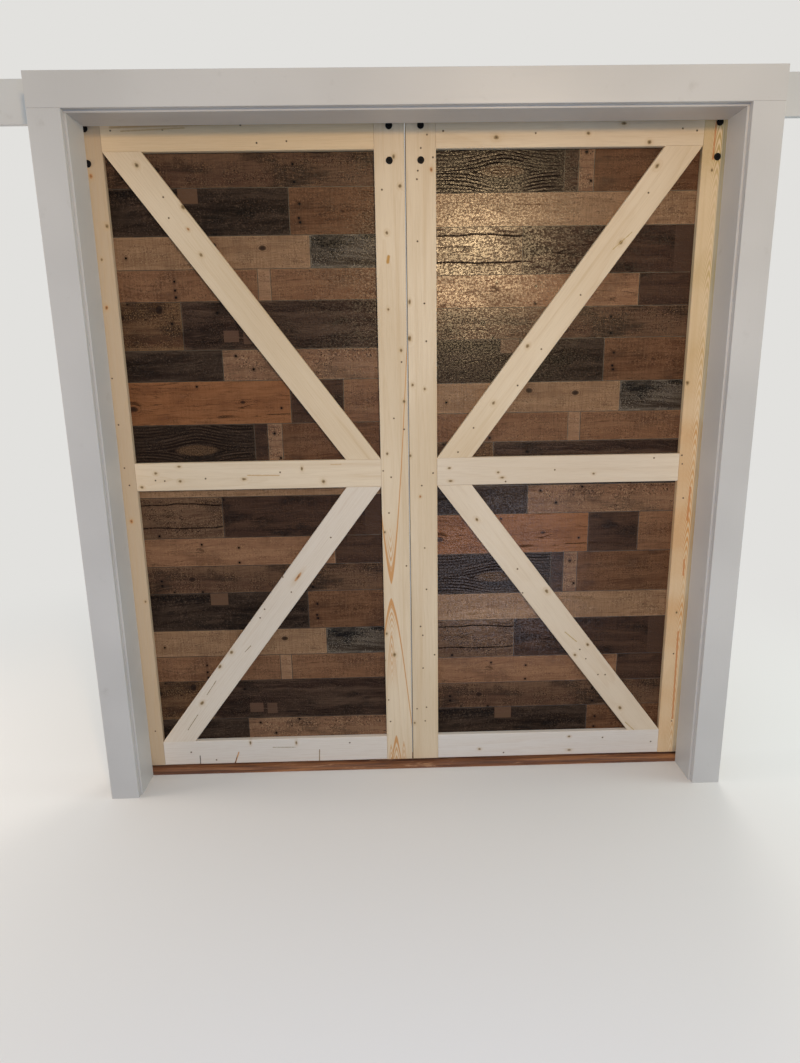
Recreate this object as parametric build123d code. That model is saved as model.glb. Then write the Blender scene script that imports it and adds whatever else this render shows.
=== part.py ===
# Pair of K-braced sliding barn doors on a flat track, behind a cased opening.
# Row frame: +X to the right, +Y away from the viewer, through the opening, +Z up.
# The origin is on the floor, in the middle of the whole assembly. All sizes are in millimetres.
from build123d import *
import math
import os

os.makedirs("parts", exist_ok=True)

# Cased opening
opening_width = 1829.0
opening_height = 2045.0
jamb_depth = 114.3
jamb_thickness = 19.0
casing_width = 88.9
casing_thickness = 19.0
casing_reveal = 6.0
threshold_depth = 88.9
threshold_thickness = 12.0
threshold_bevel = 4.0
threshold_spare = 10.0
trim_ease = 1.2

# Doors. They meet a little left of the middle and cover the opening at its head and sides.
door_head_cover = 30.0
door_side_cover = 44.5
door_overrun = 1.5
floor_gap = 20.0
meeting_gap = 2.5
meeting_x = -9.0
board_width = 88.9
board_thickness = 19.0
board_ease = 1.5
sheet_thickness = 3.2
middle_rail_height = 977.0
door_clearance = 11.0

# Header board and rail
header_height = 114.3
header_thickness = 19.0
header_lift = 7.0
header_overhang = 10.0
rail_end_margin = 13.0
rail_height = 40.0
rail_thickness = 6.0
rail_joint_gap = 0.4
rail_corner = 0.8
rail_above_door = 10.0
lag_spacing = 406.4
lag_end_margin = 50.0
lag_radius = 4.0
lag_thread_radius = 3.5
lag_length = 100.0
lag_tip_length = 8.0
lag_flange_radius = 9.0
lag_flange_thickness = 1.5
lag_head_across_flats = 13.0
lag_head_height = 5.0
lag_clearance = 0.3
spacer_radius = 10.0
spacer_bore_clearance = 0.6
splice_length = 120.0
splice_height = 20.0
splice_thickness = 5.0
splice_screw_places = (32.0, 50.0)

# Hangers and wheels
wheel_radius = 32.0
wheel_width = 16.0
groove_depth = 6.0
groove_side_clearance = 1.0
groove_flare = 0.6
wheel_hub_radius = 9.0
wheel_hub_gap = 3.0
wheel_back_hub = 1.0
wheel_web_recess = 3.0
wheel_web_inner_radius = 11.5
wheel_web_outer_radius = 22.0
wheel_hole_radius = 3.0
wheel_hole_count = 6
wheel_side_play = 0.3
rolling_gap = 0.3
axle_radius = 5.0
axle_running_clearance = 0.05
axle_head_across_flats = 17.0
axle_head_height = 5.5
axle_nut_height = 6.0
axle_end = 2.0
strap_width = 40.0
strap_thickness = 5.0
hanger_bolt_radius = 4.0
hanger_bolt_clearance = 0.25
hanger_head_across_flats = 13.0
hanger_head_height = 5.3
hanger_bolt_end_gap = 3.0
upper_bolt_drop = 27.0
hanger_bolt_spacing = 92.0
barrel_radius = 5.5
barrel_length = 21.0
barrel_flange_radius = 10.0
barrel_flange_thickness = 2.5
barrel_flange_round = 1.0
barrel_socket_across_flats = 5.0
barrel_socket_depth = 4.0
barrel_web = 3.5
barrel_clearance = 0.1
thread_clearance = 0.05
jump_disc_radius = 12.5
jump_disc_thickness = 5.0
jump_disc_rim = 1.0
jump_disc_offset = 62.0

# Stops on the rail
stop_width = 25.0
stop_front_leg = 7.0
stop_top_above_axle = 9.0
stop_bottom_drop = 4.0
stop_short_leg = 7.0
stop_rail_clearance = 0.1
stop_corner = 1.5
stop_gap = 0.5
bumper_radius = 7.0
bumper_length = 6.0
bumper_rim = 1.0
bumper_stem_radius = 3.0
bumper_stem_length = 5.0
bumper_stem_clearance = 0.05

# Small screws
machine_screw_radius = 3.0
machine_head_radius = 5.0
machine_head_height = 3.0
wood_screw_radius = 2.0
wood_screw_head_radius = 4.0
wood_screw_head_height = 2.2
jump_screw_length = 35.0
guide_screw_length = 10.0
screw_hole_clearance = 0.15

# Floor guides
guide_length = 60.0
guide_wall = 3.0
guide_height = 32.0
guide_side_clearance = 1.5
guide_from_jamb = 16.0
guide_bend_radius = 1.5
guide_screw_spacing = 32.0
guide_corner_radius = 5.0

# How far a cutting shape reaches past the piece that it cuts
past = 1.0

# Sizes that follow from the opening
half_opening = opening_width / 2
door_width = half_opening + door_side_cover - meeting_gap / 2
door_height = opening_height + door_head_cover - floor_gap
door_travel = half_opening + door_overrun - abs(meeting_x) - meeting_gap / 2

# Places along Y, from the casing's front face to the back of the hangers
door_thickness = 2 * board_thickness + 2 * sheet_thickness
depth_to_door = casing_thickness + jamb_depth + header_thickness + door_clearance
hanger_stack = strap_thickness + max(hanger_head_height, axle_head_height)
depth_with_hangers = depth_to_door + door_thickness + hanger_stack
depth_with_threshold = casing_thickness + jamb_depth + threshold_depth
total_depth = max(depth_with_hangers, depth_with_threshold)
y_casing_front = -total_depth / 2
y_wall_front = y_casing_front + casing_thickness
y_wall_back = y_wall_front + jamb_depth
y_header_back = y_wall_back + header_thickness
y_door_front = y_header_back + door_clearance
y_front_sheet = y_door_front + board_thickness
y_rear_sheet = y_front_sheet + sheet_thickness
y_rear_boards = y_rear_sheet + sheet_thickness
y_door_back = y_door_front + door_thickness
y_strap_back = y_door_back + strap_thickness
y_wheel_front = y_door_back - wheel_hub_gap - wheel_width
y_wheel_middle = y_wheel_front + wheel_width / 2
y_rail_front = y_wheel_middle - rail_thickness / 2
y_rail_back = y_rail_front + rail_thickness

# Places along Z
z_door_bottom = floor_gap
z_door_top = z_door_bottom + door_height
z_bottom_rail_top = z_door_bottom + board_width
z_middle_rail = z_door_bottom + middle_rail_height
z_middle_rail_top = z_middle_rail + board_width
z_top_rail = z_door_top - board_width
z_upper_bolt = z_door_top - upper_bolt_drop
z_lower_bolt = z_upper_bolt - hanger_bolt_spacing
z_rail_bottom = z_door_top + rail_above_door
z_rail_top = z_rail_bottom + rail_height
z_rail_middle = z_rail_bottom + rail_height / 2
groove_radius = wheel_radius - groove_depth
z_axle = z_rail_top + rolling_gap + groove_radius
z_header_bottom = opening_height + header_lift

# Places along X, for a door on side -1 (left) or +1 (right)
half_jamb = half_opening + jamb_thickness
inner_casing_x = half_opening + casing_reveal
outer_casing_x = inner_casing_x + casing_width
inner_hanger_u = board_width / 2
outer_hanger_u = door_width - board_width / 2
outer_hanger_reach = abs(meeting_x) + meeting_gap / 2 + outer_hanger_u
end_stop_reach = outer_hanger_reach + door_travel + wheel_radius + stop_gap + bumper_length
rail_half_length = end_stop_reach + stop_width + rail_end_margin
header_half_length = rail_half_length + header_overhang
panel_clear_width = door_width - 2 * board_width


def door_x(side, u):
    """X of a place that lies u from the edge where the doors meet."""
    return meeting_x + side * (meeting_gap / 2 + u)


def slab(x_limits, y_limits, z_limits):
    """A box between two limits on each axis."""
    x0, x1 = sorted(x_limits)
    y0, y1 = sorted(y_limits)
    z0, z1 = sorted(z_limits)
    centre = ((x0 + x1) / 2, (y0 + y1) / 2, (z0 + z1) / 2)
    return Pos(*centre) * Box(x1 - x0, y1 - y0, z1 - z0)


def eased(board, axis, size):
    """Break the long edges of a board, which run along the axis."""
    return chamfer(board.edges().filter_by(axis), size)


def rod_y(radius, x, z, y0, y1):
    """A round rod along Y."""
    length = abs(y1 - y0)
    return Pos(x, (y0 + y1) / 2, z) * Rot(90, 0, 0) * Cylinder(radius, length)


def rod_x(radius, y, z, x0, x1):
    """A round rod along X."""
    length = abs(x1 - x0)
    return Pos((x0 + x1) / 2, y, z) * Rot(0, 90, 0) * Cylinder(radius, length)


def hexagon_y(across_flats, x, z, y0, y1):
    """A six-sided prism along Y, standing on a flat."""
    outline = RegularPolygon(across_flats / 2, 6, major_radius=False)
    prism = extrude(outline, abs(y1 - y0))
    return Pos(x, max(y0, y1), z) * Rot(90, 0, 0) * prism


def turned_y(profile_points, x, y, z):
    """A turned part about Y. Each profile point is a radius and a distance along +Y."""
    outline = Polyline(*[(r, d, 0) for r, d in profile_points], close=True)
    turned = revolve(make_face(outline), Axis.Y, 360)
    return Pos(x, y, z) * turned


def save(name, *solids):
    """Write one node, made of one solid or of several separate ones."""
    shape = solids[0] if len(solids) == 1 else Compound(children=list(solids))
    export_step(shape, "parts/" + name + ".step")


# Casing and jambs

def side_jamb(side):
    limits = (side * half_opening, side * half_jamb)
    board = slab(limits, (y_wall_front, y_wall_back), (0, opening_height))
    return eased(board, Axis.Z, trim_ease)


def head_jamb():
    z_limits = (opening_height, opening_height + jamb_thickness)
    board = slab((-half_jamb, half_jamb), (y_wall_front, y_wall_back), z_limits)
    return eased(board, Axis.X, trim_ease)


def leg_casing(side):
    limits = (side * inner_casing_x, side * outer_casing_x)
    z_limits = (0, opening_height + casing_reveal)
    board = slab(limits, (y_casing_front, y_wall_front), z_limits)
    return eased(board, Axis.Z, trim_ease)


def head_casing():
    z0 = opening_height + casing_reveal
    z_limits = (z0, z0 + casing_width)
    board = slab((-outer_casing_x, outer_casing_x), (y_casing_front, y_wall_front), z_limits)
    return eased(board, Axis.X, trim_ease)


save("jamb_left", side_jamb(-1))
save("jamb_right", side_jamb(1))
save("jamb_head", head_jamb())
save("casing_left", leg_casing(-1))
save("casing_right", leg_casing(1))
save("casing_head", head_casing())

# Floor guides and threshold. The threshold runs past the jambs to carry the guides.

guide_middle_x = half_opening + guide_from_jamb + guide_length / 2
threshold_half_length = guide_middle_x + guide_length / 2 + threshold_spare
y_guide_inner_front = y_door_front - guide_side_clearance
y_guide_inner_back = y_door_back + guide_side_clearance
y_guide_middle = (y_guide_inner_front + y_guide_inner_back) / 2


def guide_screw_places():
    return [
        side * guide_middle_x + end * guide_screw_spacing / 2
        for side in (-1, 1)
        for end in (-1, 1)
    ]


def countersunk_screw(x, y, z_head, length):
    """A flat-headed wood screw, driven down, with the top of its head at z_head."""
    outline = Polyline(
        (0, 0, 0),
        (wood_screw_head_radius, 0, 0),
        (wood_screw_radius, 0, -wood_screw_head_height),
        (wood_screw_radius, 0, -length + wood_screw_radius),
        (0, 0, -length),
        close=True,
    )
    return Pos(x, y, z_head) * revolve(make_face(outline), Axis.Z, 360)


def screw_seat(x, y, z_head, length):
    """The hole for a countersunk screw, a little wider than the screw."""
    r = wood_screw_radius + screw_hole_clearance
    head_r = wood_screw_head_radius + screw_hole_clearance
    outline = Polyline(
        (0, 0, past),
        (head_r, 0, past),
        (head_r, 0, -screw_hole_clearance),
        (r, 0, -wood_screw_head_height - screw_hole_clearance),
        (r, 0, -length - screw_hole_clearance),
        (0, 0, -length - screw_hole_clearance),
        close=True,
    )
    return Pos(x, y, z_head) * revolve(make_face(outline), Axis.Z, 360)


z_guide_floor = threshold_thickness
z_guide_screw_top = z_guide_floor + guide_wall


def threshold():
    y_limits = (y_wall_back, y_wall_back + threshold_depth)
    limits = (-threshold_half_length, threshold_half_length)
    board = slab(limits, y_limits, (0, threshold_thickness))
    rear_edge = board.edges().filter_by(Axis.X).group_by(Axis.Z)[-1].sort_by(Axis.Y)
    board = chamfer(rear_edge[-1], threshold_bevel)
    for x in guide_screw_places():
        board -= screw_seat(x, y_guide_middle, z_guide_screw_top, guide_screw_length)
    return board


def floor_guide(side):
    """A folded channel that holds the foot of the door."""
    x = side * guide_middle_x
    x_limits = (x - guide_length / 2, x + guide_length / 2)
    y0 = y_guide_inner_front - guide_wall
    y1 = y_guide_inner_back + guide_wall
    outer = slab(x_limits, (y0, y1), (z_guide_floor, z_guide_floor + guide_height))
    bends = outer.edges().filter_by(Axis.X).group_by(Axis.Z)[0]
    outer = fillet(bends, guide_bend_radius)
    inner_limits = (y_guide_inner_front, y_guide_inner_back)
    channel = slab(
        (x_limits[0] - past, x_limits[1] + past),
        inner_limits,
        (z_guide_screw_top, z_guide_floor + guide_height + past),
    )
    guide = outer - channel
    tips = guide.edges().filter_by(Axis.Y).group_by(Axis.Z)[-1]
    guide = fillet(tips, guide_corner_radius)
    for place in guide_screw_places():
        if abs(place - x) < guide_length / 2:
            guide -= screw_seat(place, y_guide_middle, z_guide_screw_top, guide_screw_length)
    return guide


def guide_screws():
    return [
        countersunk_screw(x, y_guide_middle, z_guide_screw_top, guide_screw_length)
        for x in guide_screw_places()
    ]


save("threshold", threshold())
save("floor_guides", floor_guide(-1), floor_guide(1))
save("guide_screws", *guide_screws())

# Header board, rail and spacers

# The lag screws fall on every stud that each half of the rail reaches.
first_lag = lag_spacing / 2
lags_per_rail = 1 + int((rail_half_length - lag_end_margin - first_lag) / lag_spacing)
lag_places = [
    side * (first_lag + k * lag_spacing)
    for side in (-1, 1)
    for k in range(lags_per_rail)
]
y_lag_head = y_rail_back + lag_flange_thickness + lag_head_height
y_lag_tip = y_rail_back - lag_length
y_stop_back_leg = y_rail_front - splice_thickness


def header_board():
    z_limits = (z_header_bottom, z_header_bottom + header_height)
    limits = (-header_half_length, header_half_length)
    board = slab(limits, (y_wall_back, y_header_back), z_limits)
    board = eased(board, Axis.X, trim_ease)
    for x in lag_places:
        board -= rod_y(lag_radius + lag_clearance, x, z_rail_middle, y_wall_back, y_header_back)
    return board


def rail(side, screw_places):
    limits = (side * rail_joint_gap / 2, side * rail_half_length)
    bar = slab(limits, (y_rail_front, y_rail_back), (z_rail_bottom, z_rail_top))
    bar = eased(bar, Axis.X, rail_corner)
    for x in lag_places:
        if x * side > 0:
            hole = rod_y(lag_radius + lag_clearance, x, z_rail_middle, y_rail_front, y_rail_back)
            bar -= hole
    for x in screw_places:
        if x * side > 0:
            r = machine_screw_radius + thread_clearance
            bar -= rod_y(r, x, z_rail_middle, y_rail_front, y_rail_back)
    return bar


def spacer(x):
    tube = rod_y(spacer_radius, x, z_rail_middle, y_header_back, y_rail_front)
    bore = rod_y(lag_radius + spacer_bore_clearance, x, z_rail_middle, y_header_back, y_rail_front)
    return tube - bore


def lag_screw(x):
    """A hex lag screw with a flanged head. Its thread is plain and starts where the wall does."""
    thread_length = y_wall_back - y_lag_tip
    shank = turned_y(
        [
            (0, 0),
            (lag_thread_radius, lag_tip_length),
            (lag_thread_radius, thread_length),
            (lag_radius, thread_length),
            (lag_radius, lag_length),
            (lag_flange_radius, lag_length),
            (lag_flange_radius, lag_length + lag_flange_thickness),
            (0, lag_length + lag_flange_thickness),
        ],
        x,
        y_lag_tip,
        z_rail_middle,
    )
    y0 = y_rail_back + lag_flange_thickness
    return shank + hexagon_y(lag_head_across_flats, x, z_rail_middle, y0, y_lag_head)


# Stops. Each is a block that sits over the rail, with a screw through its front leg.

inner_axle_x = {side: door_x(side, inner_hanger_u) for side in (-1, 1)}
outer_axle_x = {side: door_x(side, outer_hanger_u) for side in (-1, 1)}
space_between_wheels = inner_axle_x[1] - inner_axle_x[-1] - 2 * wheel_radius
center_stop_width = space_between_wheels - 2 * (bumper_length + stop_gap)
z_stop_top = z_axle + stop_top_above_axle
z_stop_bottom = z_rail_bottom + stop_bottom_drop


def stop_block(x, width, back_leg_bottom):
    """The block over the rail at x. Its back leg reaches down to back_leg_bottom."""
    x_limits = (x - width / 2, x + width / 2)
    y0 = y_stop_back_leg
    y1 = y_rail_back + stop_front_leg
    block = slab(x_limits, (y0, y1), (z_stop_bottom, z_stop_top))
    block = fillet(block.edges().filter_by(Axis.X).group_by(Axis.Z)[-1], stop_corner)
    slot_limits = (y_rail_front - stop_rail_clearance, y_rail_back + stop_rail_clearance)
    wide = (x_limits[0] - past, x_limits[1] + past)
    slot_top = z_rail_top + stop_rail_clearance
    block -= slab(wide, slot_limits, (z_stop_bottom - past, slot_top))
    if back_leg_bottom > z_stop_bottom:
        block -= slab(wide, (y0 - past, y_rail_front), (z_stop_bottom - past, back_leg_bottom))
    r = machine_screw_radius + thread_clearance
    block -= rod_y(r, x, z_rail_middle, y0, y1)
    return block


def stem_hole(x_face, direction):
    """The blind hole in a stop for a bumper's stem. The bumper points along direction."""
    depth = bumper_stem_length + bumper_stem_clearance
    r = bumper_stem_radius + bumper_stem_clearance
    return rod_x(r, y_wheel_middle, z_axle, x_face, x_face - direction * depth)


def bumper(x_face, direction):
    """A rubber bumper with a domed rim, its stem in the stop."""
    head = rod_x(bumper_radius, y_wheel_middle, z_axle, x_face, x_face + direction * bumper_length)
    rim = head.edges().filter_by(GeomType.CIRCLE).sort_by(Axis.X)
    head = chamfer(rim[-1] if direction > 0 else rim[0], bumper_rim)
    stem_end = x_face - direction * bumper_stem_length
    return head + rod_x(bumper_stem_radius, y_wheel_middle, z_axle, x_face, stem_end)


def stop_screw(x):
    """A round-headed screw through the front leg, the rail and what is behind it."""
    y1 = y_rail_back + stop_front_leg
    shank = rod_y(machine_screw_radius, x, z_rail_middle, y_stop_back_leg, y1)
    head = rod_y(machine_head_radius, x, z_rail_middle, y1, y1 + machine_head_height)
    return shank + head


def end_stop_face(side):
    """X of the face of an end stop that carries its bumper."""
    wheel_edge = outer_axle_x[side] + side * (door_travel + wheel_radius)
    return wheel_edge + side * (stop_gap + bumper_length)


def end_stop_x(side):
    return end_stop_face(side) + side * stop_width / 2


def end_stop(side):
    block = stop_block(end_stop_x(side), stop_width, z_stop_bottom)
    return block - stem_hole(end_stop_face(side), -side)


center_stop_x = (inner_axle_x[1] + inner_axle_x[-1]) / 2


def center_stop_face(side):
    return center_stop_x + side * center_stop_width / 2


def center_stop():
    block = stop_block(center_stop_x, center_stop_width, z_rail_top - stop_short_leg)
    for side in (-1, 1):
        block -= stem_hole(center_stop_face(side), side)
    return block


stop_places = (end_stop_x(-1), center_stop_x, end_stop_x(1))
splice_places = [side * place for side in (-1, 1) for place in splice_screw_places]
rail_screw_places = (*stop_places, *splice_places)


def splice_plate():
    half = splice_height / 2
    z_limits = (z_rail_middle - half, z_rail_middle + half)
    limits = (-splice_length / 2, splice_length / 2)
    plate = slab(limits, (y_stop_back_leg, y_rail_front), z_limits)
    plate = fillet(plate.edges().filter_by(Axis.Y), rail_corner)
    for x in (center_stop_x, *splice_places):
        r = machine_screw_radius + thread_clearance
        plate -= rod_y(r, x, z_rail_middle, y_stop_back_leg, y_rail_front)
    return plate


def splice_screw(x):
    shank = rod_y(machine_screw_radius, x, z_rail_middle, y_stop_back_leg, y_rail_back)
    y1 = y_rail_back + machine_head_height
    return shank + rod_y(machine_head_radius, x, z_rail_middle, y_rail_back, y1)


save("header_board", header_board())
save("rail_left", rail(-1, rail_screw_places))
save("rail_right", rail(1, rail_screw_places))
save("rail_spacers", *[spacer(x) for x in lag_places])
save("rail_lag_screws", *[lag_screw(x) for x in lag_places])
save("rail_splice", splice_plate())
save("splice_screws", *[splice_screw(x) for x in splice_places])
save("end_stops", end_stop(-1), end_stop(1))
save("center_stop", center_stop())
save("stop_screws", *[stop_screw(x) for x in stop_places])
save(
    "stop_bumpers",
    *[bumper(end_stop_face(side), -side) for side in (-1, 1)],
    *[bumper(center_stop_face(side), side) for side in (-1, 1)],
)

# Doors. The front faces the wall, and the rear carries the straps.

hanger_places = (inner_hanger_u, outer_hanger_u)
bolt_heights = (z_upper_bolt, z_lower_bolt)
y_jump_disc = y_rear_boards + board_thickness / 2
z_jump_disc_top = z_door_top + jump_disc_thickness


def jump_disc_places(side):
    return (
        door_x(side, inner_hanger_u + jump_disc_offset),
        door_x(side, outer_hanger_u - jump_disc_offset),
    )


def stile(side, u0, y0):
    """A full-height board that starts u0 from the meeting edge."""
    limits = (door_x(side, u0), door_x(side, u0 + board_width))
    board = slab(limits, (y0, y0 + board_thickness), (z_door_bottom, z_door_top))
    board = eased(board, Axis.Z, board_ease)
    is_front = y0 < y_front_sheet
    r = barrel_radius + barrel_clearance if is_front else hanger_bolt_radius + hanger_bolt_clearance
    x = door_x(side, u0 + board_width / 2)
    for z in bolt_heights:
        board -= rod_y(r, x, z, y0, y0 + board_thickness)
    return board


def cross_rail(side, z0, y0):
    """A board that fits between the two stiles. The rear top one takes the disc screws."""
    limits = (door_x(side, board_width), door_x(side, door_width - board_width))
    board = slab(limits, (y0, y0 + board_thickness), (z0, z0 + board_width))
    board = eased(board, Axis.X, board_ease)
    if y0 == y_rear_boards and z0 == z_top_rail:
        for x in jump_disc_places(side):
            board -= screw_seat(x, y_jump_disc, z_jump_disc_top, jump_screw_length)
    return board


def brace_cut(rise):
    """Length of the level cut at a brace's end, for a brace that climbs by rise.

    The brace fills the clear width: run = clear width - cut, and the cut of a board
    at that slope is its width times the slope's length over the rise.
    """
    w2 = board_width ** 2
    a = rise ** 2 - w2
    b = 2 * w2 * panel_clear_width
    c = -w2 * (panel_clear_width ** 2 + rise ** 2)
    return (-b + math.sqrt(b * b - 4 * a * c)) / (2 * a)


def brace(side, z_outer, z_inner, y0):
    """A brace from the outer stile at z_outer to the inner stile at z_inner."""
    cut = brace_cut(abs(z_outer - z_inner))
    u_outer = door_width - board_width
    u_inner = board_width
    corners = (
        (door_x(side, u_outer), z_outer),
        (door_x(side, u_outer - cut), z_outer),
        (door_x(side, u_inner), z_inner),
        (door_x(side, u_inner + cut), z_inner),
    )
    outline = Polyline(*[(x, 0, z) for x, z in corners], close=True)
    board = extrude(make_face(outline), board_thickness, dir=(0, 1, 0))
    board = Pos(0, y0, 0) * board
    level = board.edges().filter_by(Axis.X)
    across = board.edges().filter_by(Axis.Y)
    long_edges = [e for e in board.edges() if e not in level and e not in across]
    return chamfer(long_edges, board_ease)


def sheet(side, y0):
    """The thin printed sheet, as large as the door."""
    limits = (door_x(side, 0), door_x(side, door_width))
    board = slab(limits, (y0, y0 + sheet_thickness), (z_door_bottom, z_door_top))
    is_front = y0 < y_rear_sheet
    r = barrel_radius + barrel_clearance if is_front else hanger_bolt_radius + hanger_bolt_clearance
    for u in hanger_places:
        for z in bolt_heights:
            board -= rod_y(r, door_x(side, u), z, y0, y0 + sheet_thickness)
    return board


rail_heights = {"top": z_top_rail, "middle": z_middle_rail, "bottom": z_door_bottom}
brace_ends = {
    "upper": (z_top_rail, z_middle_rail_top),
    "lower": (z_bottom_rail_top, z_middle_rail),
}


def strap(x):
    """A flat bar bolted to the rear of the door, rounded at both ends."""
    z_low = z_lower_bolt
    middle = (z_axle + z_low) / 2
    outline = SlotCenterToCenter(z_axle - z_low, strap_width, rotation=90)
    bar = extrude(outline, strap_thickness)
    bar = Pos(x, y_strap_back, middle) * Rot(90, 0, 0) * bar
    bar -= rod_y(axle_radius + axle_running_clearance, x, z_axle, y_door_back, y_strap_back)
    r = hanger_bolt_radius + hanger_bolt_clearance
    for z in bolt_heights:
        bar -= rod_y(r, x, z, y_door_back, y_strap_back)
    return bar


def hanger_bolt(x, z):
    """A hex bolt from the rear, through the strap and the door into the barrel nut."""
    y_tip = y_door_front + barrel_socket_depth + hanger_bolt_end_gap
    shank = rod_y(hanger_bolt_radius, x, z, y_tip, y_strap_back)
    y1 = y_strap_back + hanger_head_height
    return shank + hexagon_y(hanger_head_across_flats, x, z, y_strap_back, y1)


def barrel_nut(x, z):
    """A sleeve nut with a thin round flange that bears on the front of the stile."""
    flange = rod_y(barrel_flange_radius, x, z, y_door_front - barrel_flange_thickness, y_door_front)
    front_edge = flange.edges().filter_by(GeomType.CIRCLE).sort_by(Axis.Y)[0]
    flange = fillet(front_edge, barrel_flange_round)
    y_end = y_door_front + barrel_length
    nut = flange + rod_y(barrel_radius, x, z, y_door_front, y_end)
    y_socket = y_door_front - barrel_flange_thickness + barrel_socket_depth
    y_face = y_door_front - barrel_flange_thickness
    nut -= hexagon_y(barrel_socket_across_flats, x, z, y_face - past, y_socket)
    bore_start = y_socket + barrel_web
    return nut - rod_y(hanger_bolt_radius + thread_clearance, x, z, bore_start, y_end)


y_nut_back = y_wheel_front - wheel_back_hub - wheel_side_play
y_axle_tip = y_nut_back - axle_nut_height - axle_end


def axle_bolt(x):
    shank = rod_y(axle_radius, x, z_axle, y_axle_tip, y_strap_back)
    y1 = y_strap_back + axle_head_height
    return shank + hexagon_y(axle_head_across_flats, x, z_axle, y_strap_back, y1)


def axle_nut(x):
    y0 = y_nut_back - axle_nut_height
    nut = hexagon_y(axle_head_across_flats, x, z_axle, y0, y_nut_back)
    return nut - rod_y(axle_radius + thread_clearance, x, z_axle, y0, y_nut_back)


def jump_disc(x):
    """A disc on top of the door, under the rail, that keeps the wheels from lifting off."""
    z_middle = z_door_top + jump_disc_thickness / 2
    disc = Pos(x, y_jump_disc, z_middle) * Cylinder(jump_disc_radius, jump_disc_thickness)
    disc = chamfer(disc.edges().filter_by(GeomType.CIRCLE).sort_by(Axis.Z)[-1], jump_disc_rim)
    return disc - screw_seat(x, y_jump_disc, z_jump_disc_top, jump_screw_length)


def wheel(x):
    """A turned wheel with a groove for the rail and lightening holes in its web."""
    half_floor = rail_thickness / 2 + groove_side_clearance
    middle = wheel_width / 2
    recess = wheel_web_recess
    bore = axle_radius + axle_running_clearance
    profile = [
        (bore, -wheel_back_hub),
        (wheel_hub_radius, -wheel_back_hub),
        (wheel_hub_radius, 0),
        (wheel_web_inner_radius, 0),
        (wheel_web_inner_radius, recess),
        (wheel_web_outer_radius, recess),
        (wheel_web_outer_radius, 0),
        (wheel_radius, 0),
        (wheel_radius, middle - half_floor - groove_flare),
        (groove_radius, middle - half_floor),
        (groove_radius, middle + half_floor),
        (wheel_radius, middle + half_floor + groove_flare),
        (wheel_radius, wheel_width),
        (wheel_web_outer_radius, wheel_width),
        (wheel_web_outer_radius, wheel_width - recess),
        (wheel_web_inner_radius, wheel_width - recess),
        (wheel_web_inner_radius, wheel_width),
        (wheel_hub_radius, wheel_width),
        (wheel_hub_radius, wheel_width + wheel_hub_gap - wheel_side_play),
        (bore, wheel_width + wheel_hub_gap - wheel_side_play),
    ]
    body = turned_y(profile, x, y_wheel_front, z_axle)
    hole_circle = (wheel_web_inner_radius + wheel_web_outer_radius) / 2
    for k in range(wheel_hole_count):
        angle = 2 * math.pi * k / wheel_hole_count
        hole_x = x + hole_circle * math.cos(angle)
        hole_z = z_axle + hole_circle * math.sin(angle)
        body -= rod_y(wheel_hole_radius, hole_x, hole_z, y_wheel_front, y_wheel_front + wheel_width)
    return body


for door_name, side in (("left", -1), ("right", 1)):
    u_outer_stile = door_width - board_width
    hanger_x = [door_x(side, u) for u in hanger_places]
    bolt_spots = [(x, z) for x in hanger_x for z in bolt_heights]
    save(door_name + "_front_stile_inner", stile(side, 0, y_door_front))
    save(door_name + "_front_stile_outer", stile(side, u_outer_stile, y_door_front))
    for place, z0 in rail_heights.items():
        save(door_name + "_front_rail_" + place, cross_rail(side, z0, y_door_front))
    for place, ends in brace_ends.items():
        save(door_name + "_front_brace_" + place, brace(side, *ends, y_door_front))
    save(door_name + "_front_sheet", sheet(side, y_front_sheet))
    save(door_name + "_rear_sheet", sheet(side, y_rear_sheet))
    save(
        door_name + "_rear_stiles",
        stile(side, 0, y_rear_boards),
        stile(side, u_outer_stile, y_rear_boards),
    )
    save(
        door_name + "_rear_rails",
        *[cross_rail(side, z0, y_rear_boards) for z0 in rail_heights.values()],
    )
    save(
        door_name + "_rear_braces",
        *[brace(side, *ends, y_rear_boards) for ends in brace_ends.values()],
    )
    save(door_name + "_hanger_straps", *[strap(x) for x in hanger_x])
    save(door_name + "_hanger_bolts", *[hanger_bolt(x, z) for x, z in bolt_spots])
    save(door_name + "_barrel_nuts", *[barrel_nut(x, z) for x, z in bolt_spots])
    save(door_name + "_axle_bolts", *[axle_bolt(x) for x in hanger_x])
    save(door_name + "_axle_nuts", *[axle_nut(x) for x in hanger_x])
    save(
        door_name + "_jump_discs",
        *[jump_disc(x) for x in jump_disc_places(side)],
        *[
            countersunk_screw(x, y_jump_disc, z_jump_disc_top, jump_screw_length)
            for x in jump_disc_places(side)
        ],
    )
    save(door_name + "_wheel_inner", wheel(inner_axle_x[side]))
    save(door_name + "_wheel_outer", wheel(outer_axle_x[side]))
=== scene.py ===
# Looks of the pair of sliding barn doors in their cased opening.
# Everything is in metres, in the row frame. Lists of places on the doors are in millimetres.
import math

import bmesh
import bpy
from mathutils import Matrix, Vector


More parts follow.
